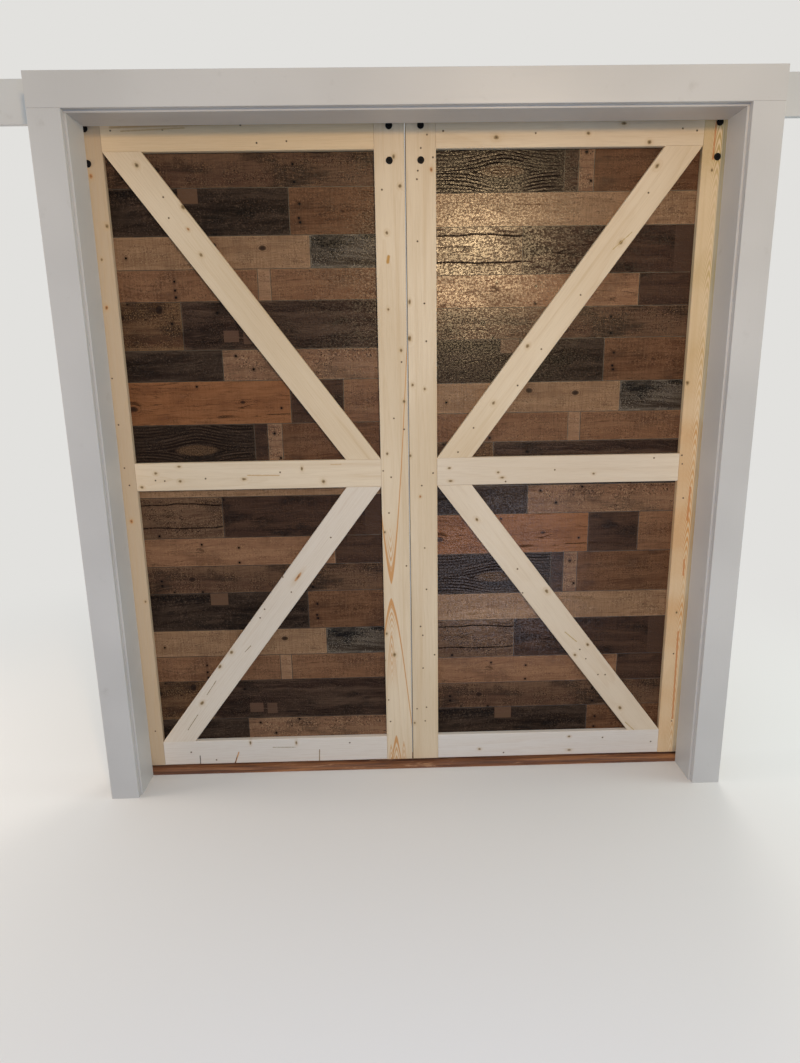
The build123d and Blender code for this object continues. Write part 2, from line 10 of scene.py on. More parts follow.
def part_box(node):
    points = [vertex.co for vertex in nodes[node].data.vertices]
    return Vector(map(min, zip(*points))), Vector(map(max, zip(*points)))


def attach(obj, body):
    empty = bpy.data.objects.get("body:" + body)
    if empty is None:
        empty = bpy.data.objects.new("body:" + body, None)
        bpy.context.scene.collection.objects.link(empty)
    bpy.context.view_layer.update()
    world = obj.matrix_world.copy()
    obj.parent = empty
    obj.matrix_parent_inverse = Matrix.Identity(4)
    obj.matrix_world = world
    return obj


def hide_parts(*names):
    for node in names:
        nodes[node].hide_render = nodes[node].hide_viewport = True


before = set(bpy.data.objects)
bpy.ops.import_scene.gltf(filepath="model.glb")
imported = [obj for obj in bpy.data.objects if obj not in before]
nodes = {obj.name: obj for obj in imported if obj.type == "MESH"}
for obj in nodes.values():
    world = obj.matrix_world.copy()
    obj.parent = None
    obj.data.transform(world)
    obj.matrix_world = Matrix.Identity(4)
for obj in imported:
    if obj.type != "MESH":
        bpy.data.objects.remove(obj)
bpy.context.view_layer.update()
MM = 0.001


def srgb(r, g, b):
    """Linear colour of an sRGB colour given from 0 to 255."""
    linear = [((c / 255 + 0.055) / 1.055) ** 2.4 for c in (r, g, b)]
    return (*linear, 1.0)


class Shader:
    """A material that is wired by calls. Each call gives an output that later calls take."""

    def __init__(self, name):
        self.material = bpy.data.materials.new(name)
        self.material.use_nodes = True
        self.tree = self.material.node_tree
        self.surface = self.tree.nodes["Principled BSDF"]

    def feed(self, socket, value):
        if isinstance(value, bpy.types.NodeSocket):
            self.tree.links.new(value, socket)
        else:
            socket.default_value = value

    def add(self, kind, values=(), **settings):
        """A new node with these settings, its inputs fed in order or by name."""
        node = self.tree.nodes.new(kind)
        for key, value in settings.items():
            setattr(node, key, value)
        pairs = values.items() if isinstance(values, dict) else enumerate(values)
        for key, value in pairs:
            self.feed(node.inputs[key], value)
        return node

    def place(self):
        """Where a point of the piece is at rest, in the row frame."""
        return self.add("ShaderNodeTexCoord").outputs["Object"]

    def attribute(self, name):
        return self.add("ShaderNodeAttribute", attribute_name=name).outputs["Vector"]

    def parts(self, vector):
        return self.add("ShaderNodeSeparateXYZ", [vector]).outputs

    def point(self, x, y, z):
        return self.add("ShaderNodeCombineXYZ", [x, y, z]).outputs[0]

    def calc(self, operation, *values):
        return self.add("ShaderNodeMath", values, operation=operation).outputs[0]

    def vector(self, operation, *values):
        node = self.add("ShaderNodeVectorMath", values, operation=operation)
        single = operation in ("DOT_PRODUCT", "LENGTH", "DISTANCE")
        return node.outputs["Value" if single else "Vector"]

    def ease(self, value, start, end, low=0.0, high=1.0):
        """Goes smoothly from low to high as value goes from start to end."""
        values = [value, start, end, low, high]
        return self.add("ShaderNodeMapRange", values, interpolation_type="SMOOTHSTEP").outputs[0]

    def noise(self, vector, scale, detail=2.0, roughness=0.5, distortion=0.0):
        values = {
            "Vector": vector,
            "Scale": scale,
            "Detail": detail,
            "Roughness": roughness,
            "Distortion": distortion,
        }
        return self.add("ShaderNodeTexNoise", values).outputs["Fac"]

    def stretched(self, vector, stretch, detail, roughness=0.5, distortion=0.0):
        """Noise with its own scale along each axis."""
        place = self.vector("MULTIPLY", vector, stretch)
        return self.noise(place, 1.0, detail, roughness, distortion)

    def mix(self, factor, a, b):
        """From colour a to colour b."""
        node = self.add("ShaderNodeMix", data_type="RGBA")
        for index, value in ((0, factor), (6, a), (7, b)):
            self.feed(node.inputs[index], value)
        return node.outputs[2]

    def bump(self, height, distance, strength=1.0):
        values = {"Strength": strength, "Distance": distance, "Height": height}
        return self.add("ShaderNodeBump", values).outputs["Normal"]

    def finish(self, color, roughness, normal=None, **further):
        """Feeds the shader. Further inputs have their names with underscores."""
        self.feed(self.surface.inputs["Base Color"], color)
        self.feed(self.surface.inputs["Roughness"], roughness)
        if normal is not None:
            self.feed(self.surface.inputs["Normal"], normal)
        for key, value in further.items():
            self.feed(self.surface.inputs[key.replace("_", " ")], value)
        return self.material


def dress(name, material):
    """Gives a CAD node one material."""
    data = nodes[name].data
    data.materials.clear()
    data.materials.append(material)


def fresh_object(name, mesh):
    """A scene object from a mesh under construction, which is freed."""
    data = bpy.data.meshes.new(name)
    mesh.to_mesh(data)
    mesh.free()
    made = bpy.data.objects.new(name, data)
    bpy.context.scene.collection.objects.link(made)
    return made


# Painted trim

TRIM_WHITE = srgb(197, 191, 183)
HEADER_WHITE = srgb(200, 196, 189)
GRIME = srgb(150, 140, 126)
STROKES_UPRIGHT = (420.0, 420.0, 9.0)
STROKES_LEVEL = (9.0, 420.0, 420.0)


def painted(name, color, stretch):
    """Brushed white paint. stretch is low along the strokes and high across them."""
    s = Shader(name)
    place = s.place()
    strokes = s.stretched(place, stretch, 3.0, 0.6)
    cloud = s.noise(place, 2.3, 2.0)
    grime = s.noise(place, 17.0, 4.0, 0.65)
    dull = tuple(c * 0.90 for c in color[:3]) + (1.0,)
    tint = s.mix(s.ease(cloud, 0.35, 0.7), color, dull)
    tint = s.mix(s.ease(grime, 0.6, 0.8, 0.0, 0.25), tint, GRIME)
    gloss = s.ease(strokes, 0.3, 0.7, 0.34, 0.46)
    return s.finish(tint, gloss, s.bump(strokes, 0.0006, 0.35))


trim_upright = painted("white_trim_upright", TRIM_WHITE, STROKES_UPRIGHT)
trim_level = painted("white_trim_level", TRIM_WHITE, STROKES_LEVEL)
header_paint = painted("white_header_paint", HEADER_WHITE, STROKES_LEVEL)
for name in ("jamb_left", "jamb_right", "casing_left", "casing_right"):
    dress(name, trim_upright)
for name in ("jamb_head", "casing_head"):
    dress(name, trim_level)
dress("header_board", header_paint)


# Stained threshold

STAIN = srgb(160, 106, 66)
STAIN_DARK = srgb(104, 62, 40)
STAIN_FIBRE = srgb(58, 36, 27)
STAIN_WORN = srgb(186, 140, 104)


def stained(name):
    """Red-brown oak with dark fibres, and pale patches of wear."""
    s = Shader(name)
    place = s.place()
    fibre = s.stretched(place, (6.0, 260.0, 260.0), 4.0, 0.6)
    figure = s.stretched(place, (1.6, 34.0, 34.0), 3.0, 0.55, 1.2)
    wear = s.stretched(place, (9.0, 40.0, 40.0), 4.0, 0.7)
    tint = s.mix(s.ease(figure, 0.38, 0.62), STAIN, STAIN_DARK)
    tint = s.mix(s.ease(fibre, 0.45, 0.68, 0.0, 0.75), tint, STAIN_FIBRE)
    tint = s.mix(s.ease(wear, 0.56, 0.68, 0.0, 0.7), tint, STAIN_WORN)
    gloss = s.ease(wear, 0.4, 0.75, 0.36, 0.6)
    return s.finish(tint, gloss, s.bump(fibre, 0.0008, 0.6))


dress("threshold", stained("stained_oak"))


# Hardware

def coated(name, color, roughness, texture_scale, depth, specular=0.25):
    """Powder coat, oxide or moulded skin over a plain dark colour."""
    s = Shader(name)
    place = s.place()
    grains = s.noise(place, texture_scale, 3.0, 0.6)
    rub = s.noise(place, 55.0, 3.0, 0.6)
    lighter = tuple(c * 1.7 for c in color[:3]) + (1.0,)
    tint = s.mix(s.ease(rub, 0.52, 0.75, 0.0, 0.8), color, lighter)
    gloss = s.ease(grains, 0.3, 0.7, roughness - 0.08, roughness + 0.1)
    return s.finish(tint, gloss, s.bump(grains, depth, 0.6), Specular_IOR_Level=specular)


powder_coat = coated("black_powder_coat", srgb(33, 31, 31), 0.55, 1400.0, 0.0002)
black_oxide = coated("black_oxide", srgb(15, 13, 13), 0.58, 900.0, 0.0001, 0.12)
rubber = coated("bumper_rubber", srgb(35, 34, 33), 0.75, 600.0, 0.0002)
nylon = coated("black_nylon", srgb(40, 39, 39), 0.48, 500.0, 0.0001)
# Words in the names of the nodes that have each look. The boards are told apart below.
hardware = {
    powder_coat: ("rail_", "end_stops", "center_stop", "floor_guides", "_straps", "_wheel_"),
    black_oxide: ("_screws", "_bolts", "_nuts"),
    rubber: ("stop_bumpers",),
    nylon: ("jump_discs",),
}
for material, words in hardware.items():
    for name in nodes:
        if any(word in name for word in words) and "_front_" not in name and "_rear_" not in name:
            dress(name, material)


# Pine boards

PALE = srgb(222, 200, 168)
CREAM = srgb(210, 186, 152)
AMBER = srgb(190, 156, 112)
FIBRE = srgb(170, 140, 102)
ORANGE = srgb(194, 136, 76)
KNOT = srgb(132, 106, 64)
KNOT_CORE = srgb(66, 48, 34)
AMBER_KNOT = srgb(176, 116, 58)
DARK_DOT = srgb(58, 42, 32)
RESIN = srgb(176, 124, 40)
STREAK = srgb(178, 148, 92)
RED_STREAK = srgb(186, 122, 72)
CRACK = srgb(62, 44, 32)
BLEACHED = srgb(217, 206, 192)
# Painted shade for the gap where the two doors meet
MEETING_GAP_SHADE = srgb(62, 44, 30)
BOARD_WIDTH = 0.0889
# The height between the upper and the lower braces
MIDDLE_HEIGHT = 1.042
# Boards side by side are cut this far apart from the log. One board alone never repeats.
LOG_STEP = 0.73
NO_REPEAT = 10.0
# In a knot's own sizes
FAR_FROM_KNOTS = 9.0
# How pointed arched grain is, the plane of the front boards, and how far along a board arches
# move for each step into its depth
ARCH_POWER = 1.5
FRONT_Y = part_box("right_front_stile_outer")[0][1]
ARCH_RUN = 8.0
MEETING_X = (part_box("left_front_stile_inner")[1][0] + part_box("right_front_stile_inner")[0][0]) / 2

# Marks on the boards that show: knots (x, z, half length, half width) in two colours, nail heads
# and pin knots (x, z), arched grain (x, z of the tip, half width, length, which is below 0 where
# it opens downwards, and how far in it is solid), rows of pointed arches (x, half width, drop,
# spacing), and splits or streaks (x, z, x, z, half width, colour).
MARKS = {
    "left_front_stile_inner": {
        "knots": [
            (-42, 1966, 7, 5), (-25, 1887, 6, 6), (-66, 1760, 6, 5), (-66, 1542, 5, 4),
            (-29, 1421, 6, 5), (-22, 1266, 6, 5), (-78, 1103, 5, 4), (-91, 846, 5, 4),
            (-92, 493, 6, 4), (-67, 416, 8, 6), (-101, 396, 5, 4),
        ],
        "dots": [
            (-78, 1878), (-28, 1386), (-55, 1214), (-23, 1179), (-92, 1048), (-67, 1027),
            (-76, 910), (-22, 730), (-90, 248), (-85, 166),
        ],
        "arches": [
            (-73, 667, 13.5, 75, 0.5), (-74, 618, 14.5, -50, 0.5), (-76, 495, 10, -70, 0.0),
            (-66, 112, 15, -80, 0.3), (-85, 75, 8, -50, 0.0), (-40, 90, 8, -60, 0.0),
        ],
        "splits": [(-62, 1694, -65, 1677, 4.5, RESIN)],
    },
    "right_front_stile_inner": {
        "knots": [
            (-1, 1563, 8, 5), (-2, 1456, 10, 6), (5, 1316, 6, 5),
            (43, 1303, 5, 4), (-4, 1095, 6, 4), (-1, 158, 5, 4),
        ],
        "amber_knots": [(67, 1930, 8, 5), (26, 962, 5, 4)],
        "dots": [
            (55, 2023), (37, 1988), (72, 1963), (28, 1928), (25, 1905), (25, 1735), (44, 1558),
            (49, 1447), (68, 1038), (31, 998), (39, 790), (44, 647), (23, 516), (30, 484),
            (70, 412), (30, 364), (8, 212), (41, 217), (36, 165),
        ],
    },
    "left_front_stile_outer": {
        "knots": [(-887, 1788, 7, 6), (-913, 1696, 5, 4), (-890, 626, 5, 4)],
        "amber_knots": [(-918, 1923, 8, 6), (-914, 1559, 8, 6), (-908, 900, 8, 6)],
        "dots": [(-920, 1351), (-916, 1209), (-912, 1073), (-902, 1017), (-903, 152)],
    },
    "right_front_stile_outer": {
        "knots": [(869, 1308, 8, 6), (893, 1920, 5, 4), (892, 545, 5, 4)],
        "dots": [(869, 1080), (872, 1052), (884, 940), (893, 395), (905, 140)],
        "arch_rows": (908, 20, 115, 32),
        "splits": [
            (895, 2050, 893, 1950, 2.5, RED_STREAK), (905, 975, 903, 866, 3, RED_STREAK),
            (904, 730, 905, 677, 3, RED_STREAK), (903, 474, 907, 150, 3, RED_STREAK),
        ],
    },
    "left_front_brace_upper": {
        "knots": [(-784, 1951, 8, 6), (-661, 1837, 8, 6), (-619, 1705, 7, 5)],
        "amber_knots": [(-651, 1777, 6, 4)],
        "dots": [(-716, 1865), (-705, 1808)],
    },
    "right_front_brace_upper": {
        "knots": [(730, 1933, 9, 6), (635, 1724, 8, 6), (362, 1428, 8, 6), (259, 1256, 7, 5)],
        "dots": [(709, 1861), (520, 1576), (405, 1418), (334, 1309), (197, 1180), (148, 1104)],
        "splits": [(612, 1705, 667, 1753, 1.2, STREAK)],
    },
    "left_front_brace_lower": {
        "knots": [(-619, 439, 8, 6), (-662, 387, 8, 6), (-733, 254, 9, 6)],
        "amber_knots": [(-381, 700, 22, 5)],
        "dots": [(-268, 832), (-431, 701), (-406, 648), (-498, 590), (-515, 560)],
        "splits": [
            (-573, 439, -552, 461, 1.2, KNOT), (-714, 284, -679, 335, 1.2, KNOT),
            (-790, 153, -751, 210, 1.2, KNOT),
        ],
    },
    "right_front_brace_lower": {
        "knots": [
            (210, 882, 7, 5), (447, 631, 9, 6), (594, 436, 7, 5), (552, 399, 6, 5),
            (719, 196, 8, 6),
        ],
        "dots": [(347, 711), (366, 627), (568, 419), (590, 384), (660, 323), (635, 324)],
        "splits": [(514, 484, 555, 448, 1.5, STREAK), (740, 141, 785, 97, 1.5, STREAK)],
    },
    "left_front_rail_top": {
        "dots": [(-850, 2042), (-702, 2043), (-479, 2053), (-436, 2006), (-350, 2010)],
        "splits": [(-850, 2050, -560, 2056, 3, AMBER), (-820, 2040, -640, 2047, 2, AMBER)],
    },
    "right_front_rail_top": {
        "knots": [(256, 2014, 9, 7), (523, 2022, 6, 5), (626, 2047, 8, 5), (703, 1997, 7, 6)],
        "dots": [(102, 2032), (370, 2024), (798, 2032), (840, 2026)],
    },
    "left_front_rail_middle": {
        "knots": [
            (-740, 1074, 7, 4), (-740, 1027, 6, 5), (-537, 1030, 8, 5), (-284, 1018, 7, 7),
            (-351, 1060, 4, 7), (-815, 1054, 6, 5), (-863, 1010, 6, 5),
        ],
        "dots": [(-818, 1031), (-789, 1029), (-659, 1034), (-421, 1050)],
        "splits": [(-525, 1042, -425, 1040, 2, AMBER), (-258, 1072, -226, 1072, 1.5, AMBER)],
    },
    "right_front_rail_middle": {
        "knots": [
            (120, 1053, 6, 4), (124, 1011, 7, 4), (277, 1036, 5, 4), (291, 1019, 8, 4),
            (586, 1026, 5, 4),
        ],
        "dots": [(302, 1006), (460, 1041), (779, 1073)],
    },
    "left_front_rail_bottom": {
        "knots": [(-577, 98, 4, 8), (-417, 93, 4, 8)],
        "dots": [(-786, 67), (-700, 35), (-230, 88)],
        "splits": [
            (-757, 16, -756, 52, 1.8, CRACK), (-637, 16, -620, 62, 2.4, ORANGE),
            (-636, 16, -628, 44, 1.2, CRACK), (-339, 16, -337, 64, 1.8, KNOT),
            (-500, 78, -420, 76, 1.0, KNOT),
        ],
    },
    "right_front_rail_bottom": {
        "knots": [(227, 50, 6, 5), (544, 90, 6, 4), (546, 37, 8, 4)],
        "dots": [(313, 34), (663, 83), (836, 62)],
    },
}
# Boards of another tone: how much of it they have, and its colour
NO_TONE = (0.0, BLEACHED)
TONES = {
    "left_front_rail_bottom": (0.9, BLEACHED),
    "right_front_rail_bottom": (1.0, BLEACHED),
    "left_front_brace_lower": (0.6, BLEACHED),
    "right_front_brace_lower": (0.25, BLEACHED),
    "right_front_rail_middle": (0.3, BLEACHED),
    "left_front_rail_middle": (0.1, BLEACHED),
    # Painted shade: the left outer stile is darkened as if shaded by the jamb beside it
    "left_front_stile_outer": (0.8, srgb(180, 156, 126)),
    "right_front_stile_outer": (0.35, srgb(208, 172, 124)),
    "left_front_rail_top": (0.5, srgb(220, 190, 146)),
}


def nearest(s, values):
    """The least of some values."""
    least = values[0]
    for value in values[1:]:
        least = s.calc("MINIMUM", least, value)
    return least


def contours(s, field, levels, thin, thick):
    """Lines of equal height of a field, full on the line and fading from thin to thick."""
    off = s.calc("SUBTRACT", s.calc("FRACT", s.calc("MULTIPLY", field, levels)), 0.5)
    return s.ease(s.calc("ABSOLUTE", off), thin, thick, 1.0, 0.0)


def own_units(s, spot, middle, half_sizes):
    """Where a point lies from a mark's middle, counted in the mark's half sizes."""
    scale = [1 / half for half in half_sizes]
    shift = [-place * factor for place, factor in zip(middle, scale)]
    return s.vector("MULTIPLY_ADD", spot, (*scale, 0.0), (*shift, 0.0))


def board_places(s, x, z, lines, seed, repeat):
    """Places along and across the boards of a node, in the row frame and in each board's log.

    lines is one (direction, middle) or two, the upper and the lower, where a node holds two
    boards that slope. Boards side by side lie one repeat apart, on other stretches of the log.
    """
    (along, middle), (low_along, low_middle) = lines[0], lines[-1]
    is_upper = s.calc("GREATER_THAN", z, MIDDLE_HEIGHT)

    def either(upper, lower):
        if upper == lower:
            return upper
        return s.add("ShaderNodeMapRange", [is_upper, 0.0, 1.0, lower, upper]).outputs[0]

    along_x = either(along[0], low_along[0])
    along_z = either(along[1], low_along[1])
    u = s.calc("ADD", s.calc("MULTIPLY", x, along_x), s.calc("MULTIPLY", z, along_z))
    v = s.calc("SUBTRACT", s.calc("MULTIPLY", z, along_x), s.calc("MULTIPLY", x, along_z))
    v = s.calc("SUBTRACT", v, either(middle, low_middle))
    v_near = s.calc("WRAP", v, repeat / 2, -repeat / 2)
    row = s.calc("ROUND", s.calc("DIVIDE", s.calc("SUBTRACT", v, v_near), repeat))
    u_own = s.calc("ADD", u, s.calc("MULTIPLY_ADD", row, LOG_STEP, seed))
    return u, v, u_own, v_near


def knot_distances(s, u, v, line, marks, shaky):
    """How far the nearest knot of each colour is, in the knots' own sizes."""
    (along_x, along_z), middle = line
    flat = s.point(u, v, 0.0)
    rough = s.calc("MULTIPLY_ADD", shaky, 0.7, -0.35)
    knots = {}
    for key in ("knots", "amber_knots"):
        distances = []
        for x, z, half_length, half_width in marks.get(key, ()):
            knot_u = (x * along_x + z * along_z) * MM
            knot_v = (z * along_x - x * along_z) * MM - middle
            half_sizes = (half_length * MM, half_width * MM)
            distances.append(s.vector("LENGTH", own_units(s, flat, (knot_u, knot_v), half_sizes)))
        if distances:
            knots[key] = s.calc("ADD", nearest(s, distances), rough)
    return knots


def late_wood(s, board, ripple, log, bend):
    """How dark the rings' late wood is on a board. bend pushes the rings outwards."""
    pith_across, pith_depth, slope, spacing, contrast = log
    u, v, depth = s.parts(board)
    drift = s.stretched(board, (1.3, 7.0, 7.0), 2.0)
    across = s.calc("ADD", s.calc("SUBTRACT", v, pith_across), s.calc("MULTIPLY", drift, 0.03))
    behind = s.calc("ADD", s.calc("MULTIPLY_ADD", u, slope, -pith_depth), depth)
    behind = s.calc("ADD", behind, s.calc("MULTIPLY", ripple, 0.008))
    squares = [s.calc("MULTIPLY", side, side) for side in (across, behind)]
    radius = s.calc("ADD", s.calc("SQRT", s.calc("ADD", *squares)), bend)
    ring = s.calc("FRACT", s.calc("DIVIDE", radius, spacing))
    # Slowly darker through a ring, and quickly pale again at its end
    late = s.calc("MINIMUM", s.calc("POWER", ring, 3.0), s.calc("MULTIPLY_ADD", ring, -9.0, 9.0))
    strength = s.ease(s.stretched(board, (2.2, 30.0, 30.0), 2.0), 0.35, 0.7, 0.35, 1.0)
    return s.calc("MULTIPLY", s.calc("MULTIPLY", late, strength), contrast)


def arch(s, x, z, ripple, tip_x, tip_z, half_width, length, filled):
    """Nested arches of late wood, solid from the outer one inwards as far as filled."""
    rise = s.calc("DIVIDE", s.calc("SUBTRACT", z, tip_z * MM), length * MM)
    side = s.calc("DIVIDE", s.calc("SUBTRACT", x, tip_x * MM), half_width * MM)
    wave = s.calc("MULTIPLY_ADD", ripple, 0.5, -0.25)
    bow = s.calc("POWER", s.calc("ABSOLUTE", side), ARCH_POWER)
    inside = s.calc("SUBTRACT", s.calc("ADD", rise, wave), bow)
    nested = s.calc("MULTIPLY", contours(s, inside, 2.3, 0.12, 0.30), s.ease(inside, 0.0, 0.1))
    nested = s.calc("MULTIPLY", nested, s.ease(rise, 1.0, 3.2, 0.75, 0.0))
    core = s.ease(inside, filled, filled + 0.12, 0.9, 0.0)
    solid = s.calc("MULTIPLY", s.ease(inside, -0.05, 0.05), core)
    return s.calc("MAXIMUM", nested, solid)


def arch_rows(s, x, depth, z, ripple, middle_x, half_width, drop, spacing):
    """Pointed arches one above another. They run on through the board's depth."""
    side = s.calc("DIVIDE", s.calc("SUBTRACT", x, middle_x * MM), half_width * MM)
    bow = s.calc("MULTIPLY", s.calc("POWER", s.calc("ABSOLUTE", side), ARCH_POWER), drop * MM)
    deep = s.calc("MULTIPLY", s.calc("SUBTRACT", depth, FRONT_Y), ARCH_RUN)
    level = s.calc("ADD", s.calc("ADD", z, bow), s.calc("MULTIPLY_ADD", ripple, 0.03, deep))
    rows = contours(s, level, 1 / (spacing * MM), 0.10, 0.42)
    patchy = s.noise(s.point(0.0, 0.0, z), 4.2, 1.0)
    return s.calc("MULTIPLY", rows, s.ease(patchy, 0.42, 0.6, 0.3, 0.95))


def split(s, flat, shaky, x0, z0, x1, z1, half_width):
    """A thin ragged line from one place to another."""
    start = Vector((x0 * MM, 0.0, z0 * MM))
    run = Vector((x1 * MM, 0.0, z1 * MM)) - start
    offset = s.vector("SUBTRACT", flat, start)
    share = s.vector("DOT_PRODUCT", offset, run / run.length_squared)
    share = s.add("ShaderNodeClamp", [share, 0.0, 1.0]).outputs[0]
    foot = s.vector("MULTIPLY", s.point(share, share, share), run)
    gap = s.vector("DISTANCE", offset, foot)
    gap = s.calc("ADD", gap, s.calc("MULTIPLY_ADD", shaky, 0.0024, -0.0012))
    return s.ease(gap, half_width * MM * 0.5, half_width * MM * 1.4, 0.9, 0.0)


def pine(name, lines, log, seed, marks, tone=NO_TONE, repeat=NO_REPEAT):
    """Bare pine with the rings of a log that runs along the board.

    For lines and repeat see board_places. log, marks and tone are as in LOGS, MARKS and TONES,
    and seed sets which stretch of the log the board is cut from.
    """
    s = Shader(name)
    place = s.place()
    x, depth, z = s.parts(place)
    flat = s.point(x, 0.0, z)
    u, v, u_own, v_near = board_places(s, x, z, lines, seed, repeat)
    board = s.point(u_own, v_near, depth)
    shaky = s.noise(place, 160.0, 2.0)
    ripple = s.stretched(board, (5.0, 26.0, 26.0), 2.0)
    knots = knot_distances(s, u, v, lines[0], marks, shaky)
    distance = nearest(s, list(knots.values())) if knots else FAR_FROM_KNOTS
    late = late_wood(s, board, ripple, log, s.ease(distance, 0.5, 3.6, 0.007, 0.0))

    fibre = s.stretched(board, (16.0, 620.0, 620.0), 4.0, 0.6)
    streak = s.stretched(board, (1.1, 52.0, 52.0), 3.0, 0.55)
    cloud = s.stretched(board, (1.6, 5.0, 5.0), 2.0)
    tint = s.mix(s.ease(cloud, 0.3, 0.7), PALE, CREAM)
    tint = s.mix(s.ease(streak, 0.5, 0.75, 0.0, 0.35), tint, AMBER)
    tint = s.mix(tone[0], tint, tone[1])
    tint = s.mix(late, tint, AMBER)
    tint = s.mix(s.ease(fibre, 0.45, 0.75, 0.0, 0.22), tint, FIBRE)
    for mark in marks.get("arches", ()):
        tint = s.mix(arch(s, x, z, ripple, *mark), tint, ORANGE)
    if "arch_rows" in marks:
        # Orange low on the board, and duller above
        warm = s.mix(s.ease(z, 1.0, 1.6), ORANGE, STREAK)
        tint = s.mix(arch_rows(s, x, depth, z, ripple, *marks["arch_rows"]), tint, warm)
    tint = s.mix(s.ease(distance, 0.8, 2.6, 0.35, 0.0), tint, AMBER)
    for key, color in (("knots", KNOT), ("amber_knots", AMBER_KNOT)):
        if key in knots:
            tint = s.mix(s.ease(knots[key], 0.55, 1.1, 0.85, 0.0), tint, color)
            tint = s.mix(s.ease(knots[key], 0.15, 0.55, 0.75, 0.0), tint, KNOT_CORE)
    height = s.calc("MULTIPLY_ADD", late, -0.4, fibre)
    if "dots" in marks:
        dots = [s.vector("DISTANCE", flat, (dx * MM, 0.0, dz * MM)) for dx, dz in marks["dots"]]
        dot = s.calc("ADD", nearest(s, dots), s.calc("MULTIPLY_ADD", shaky, 0.002, -0.001))
        tint = s.mix(s.ease(dot, 0.002, 0.0055, 0.35, 0.0), tint, AMBER)
        tint = s.mix(s.ease(dot, 0.0018, 0.0032, 0.95, 0.0), tint, DARK_DOT)
        height = s.calc("ADD", height, s.ease(dot, 0.001, 0.0025, -1.5, 0.0))
    for *line, color in marks.get("splits", ()):
        mask = split(s, flat, shaky, *line)
        tint = s.mix(mask, tint, color)
        if color == CRACK:
            height = s.calc("MULTIPLY_ADD", mask, -3.0, height)
    # Painted shade on the edges where the doors meet, standing for the dark gap between them
    from_meeting = s.calc("ABSOLUTE", s.calc("SUBTRACT", x, MEETING_X))
    tint = s.mix(s.ease(from_meeting, 0.0016, 0.0026, 0.9, 0.0), tint, MEETING_GAP_SHADE)
    gloss = s.ease(fibre, 0.3, 0.7, 0.46, 0.6)
    return s.finish(tint, gloss, s.bump(height, 0.0005, 0.5), Specular_IOR_Level=0.3)


def brace_line(low, high, falls):
    """Direction and middle of a brace that fills a box from corner to corner."""
    width, height = high[0] - low[0], high[2] - low[2]
    angle = math.atan2(height, width) + math.asin(BOARD_WIDTH / math.hypot(width, height))
    along = (math.cos(angle), -math.sin(angle) if falls else math.sin(angle))
    middle_x, middle_z = (low[0] + high[0]) / 2, (low[2] + high[2]) / 2
    return along, middle_z * along[0] - middle_x * along[1]


UPRIGHT = (0.0, 1.0)
LEVEL = (1.0, 0.0)
# How far the log's middle lies across and behind the face, the slope at which the board runs out
# of the log, the spacing of the rings and how dark they are
LOGS = {
    "left_front_stile_inner": (0.030, 0.150, 0.010, 0.0060, 0.30),
    "left_front_stile_outer": (-0.050, 0.130, 0.012, 0.0055, 0.35),
    "right_front_stile_inner": (0.060, 0.160, 0.006, 0.0060, 0.22),
    "right_front_stile_outer": (0.020, 0.110, 0.022, 0.0060, 0.30),
    "left_front_rail_top": (0.040, 0.140, 0.012, 0.0060, 0.30),
    "right_front_rail_top": (-0.020, 0.150, 0.016, 0.0065, 0.25),
    "left_front_rail_middle": (0.010, 0.130, 0.018, 0.0060, 0.28),
    "right_front_rail_middle": (-0.050, 0.150, 0.010, 0.0065, 0.20),
    "left_front_rail_bottom": (-0.040, 0.160, 0.008, 0.0065, 0.18),
    "right_front_rail_bottom": (0.050, 0.160, 0.010, 0.0070, 0.16),
}
USUAL_LOG = (0.030, 0.140, 0.014, 0.0060, 0.30)
REAR_LOG = (0.030, 0.140, 0.014, 0.0060, 0.35)
REAR_RAIL_STEP = 0.983
SEED_STEP = 1.7
DOOR_SEEDS = {"left": 0.0, "right": 23.0}

for door, falls in (("left", True), ("right", False)):
    for number, name in enumerate(sorted(n for n in nodes if n.startswith(door + "_"))):
        low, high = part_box(name)
        if "_front_stile" in name:
            line = (UPRIGHT, -(low[0] + high[0]) / 2)
        elif "_front_rail" in name:
            line = (LEVEL, (low[2] + high[2]) / 2)
        elif "_front_brace" in name:
            line = brace_line(low, high, falls if "upper" in name else not falls)
        else:
            continue
        log = LOGS.get(name, USUAL_LOG)
        seed = SEED_STEP * number + DOOR_SEEDS[door]
        tone = TONES.get(name, NO_TONE)
        dress(name, pine(name + "_pine", [line], log, seed, MARKS.get(name, {}), tone))

    # On the rear one node holds both stiles, all rails or both braces, in line with the front.
    stile_low, stile_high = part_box(door + "_front_stile_inner")
    stile_step = abs(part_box(door + "_front_stile_outer")[0][0] - stile_low[0])
    rail_low, rail_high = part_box(door + "_front_rail_middle")
    brace_lines = [
        brace_line(*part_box(door + "_front_brace_upper"), falls),
        brace_line(*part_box(door + "_front_brace_lower"), not falls),
    ]
    rear = {
        "_rear_stiles": ([(UPRIGHT, -(stile_low[0] + stile_high[0]) / 2)], 41.0, stile_step),
        "_rear_rails": ([(LEVEL, (rail_low[2] + rail_high[2]) / 2)], 47.0, REAR_RAIL_STEP),
        "_rear_braces": (brace_lines, 53.0, NO_REPEAT),
    }
    for ending, (lines, seed, repeat) in rear.items():
        name = door + ending
        dress(name, pine(name + "_pine", lines, REAR_LOG, seed, {}, repeat=repeat))


# Printed sheets: rows of old planks. A sheet is a thin backing with one plank on it for each
# printed plank, and each plank carries its place in the print, across from the door's left
# edge and down from the top of the first row.

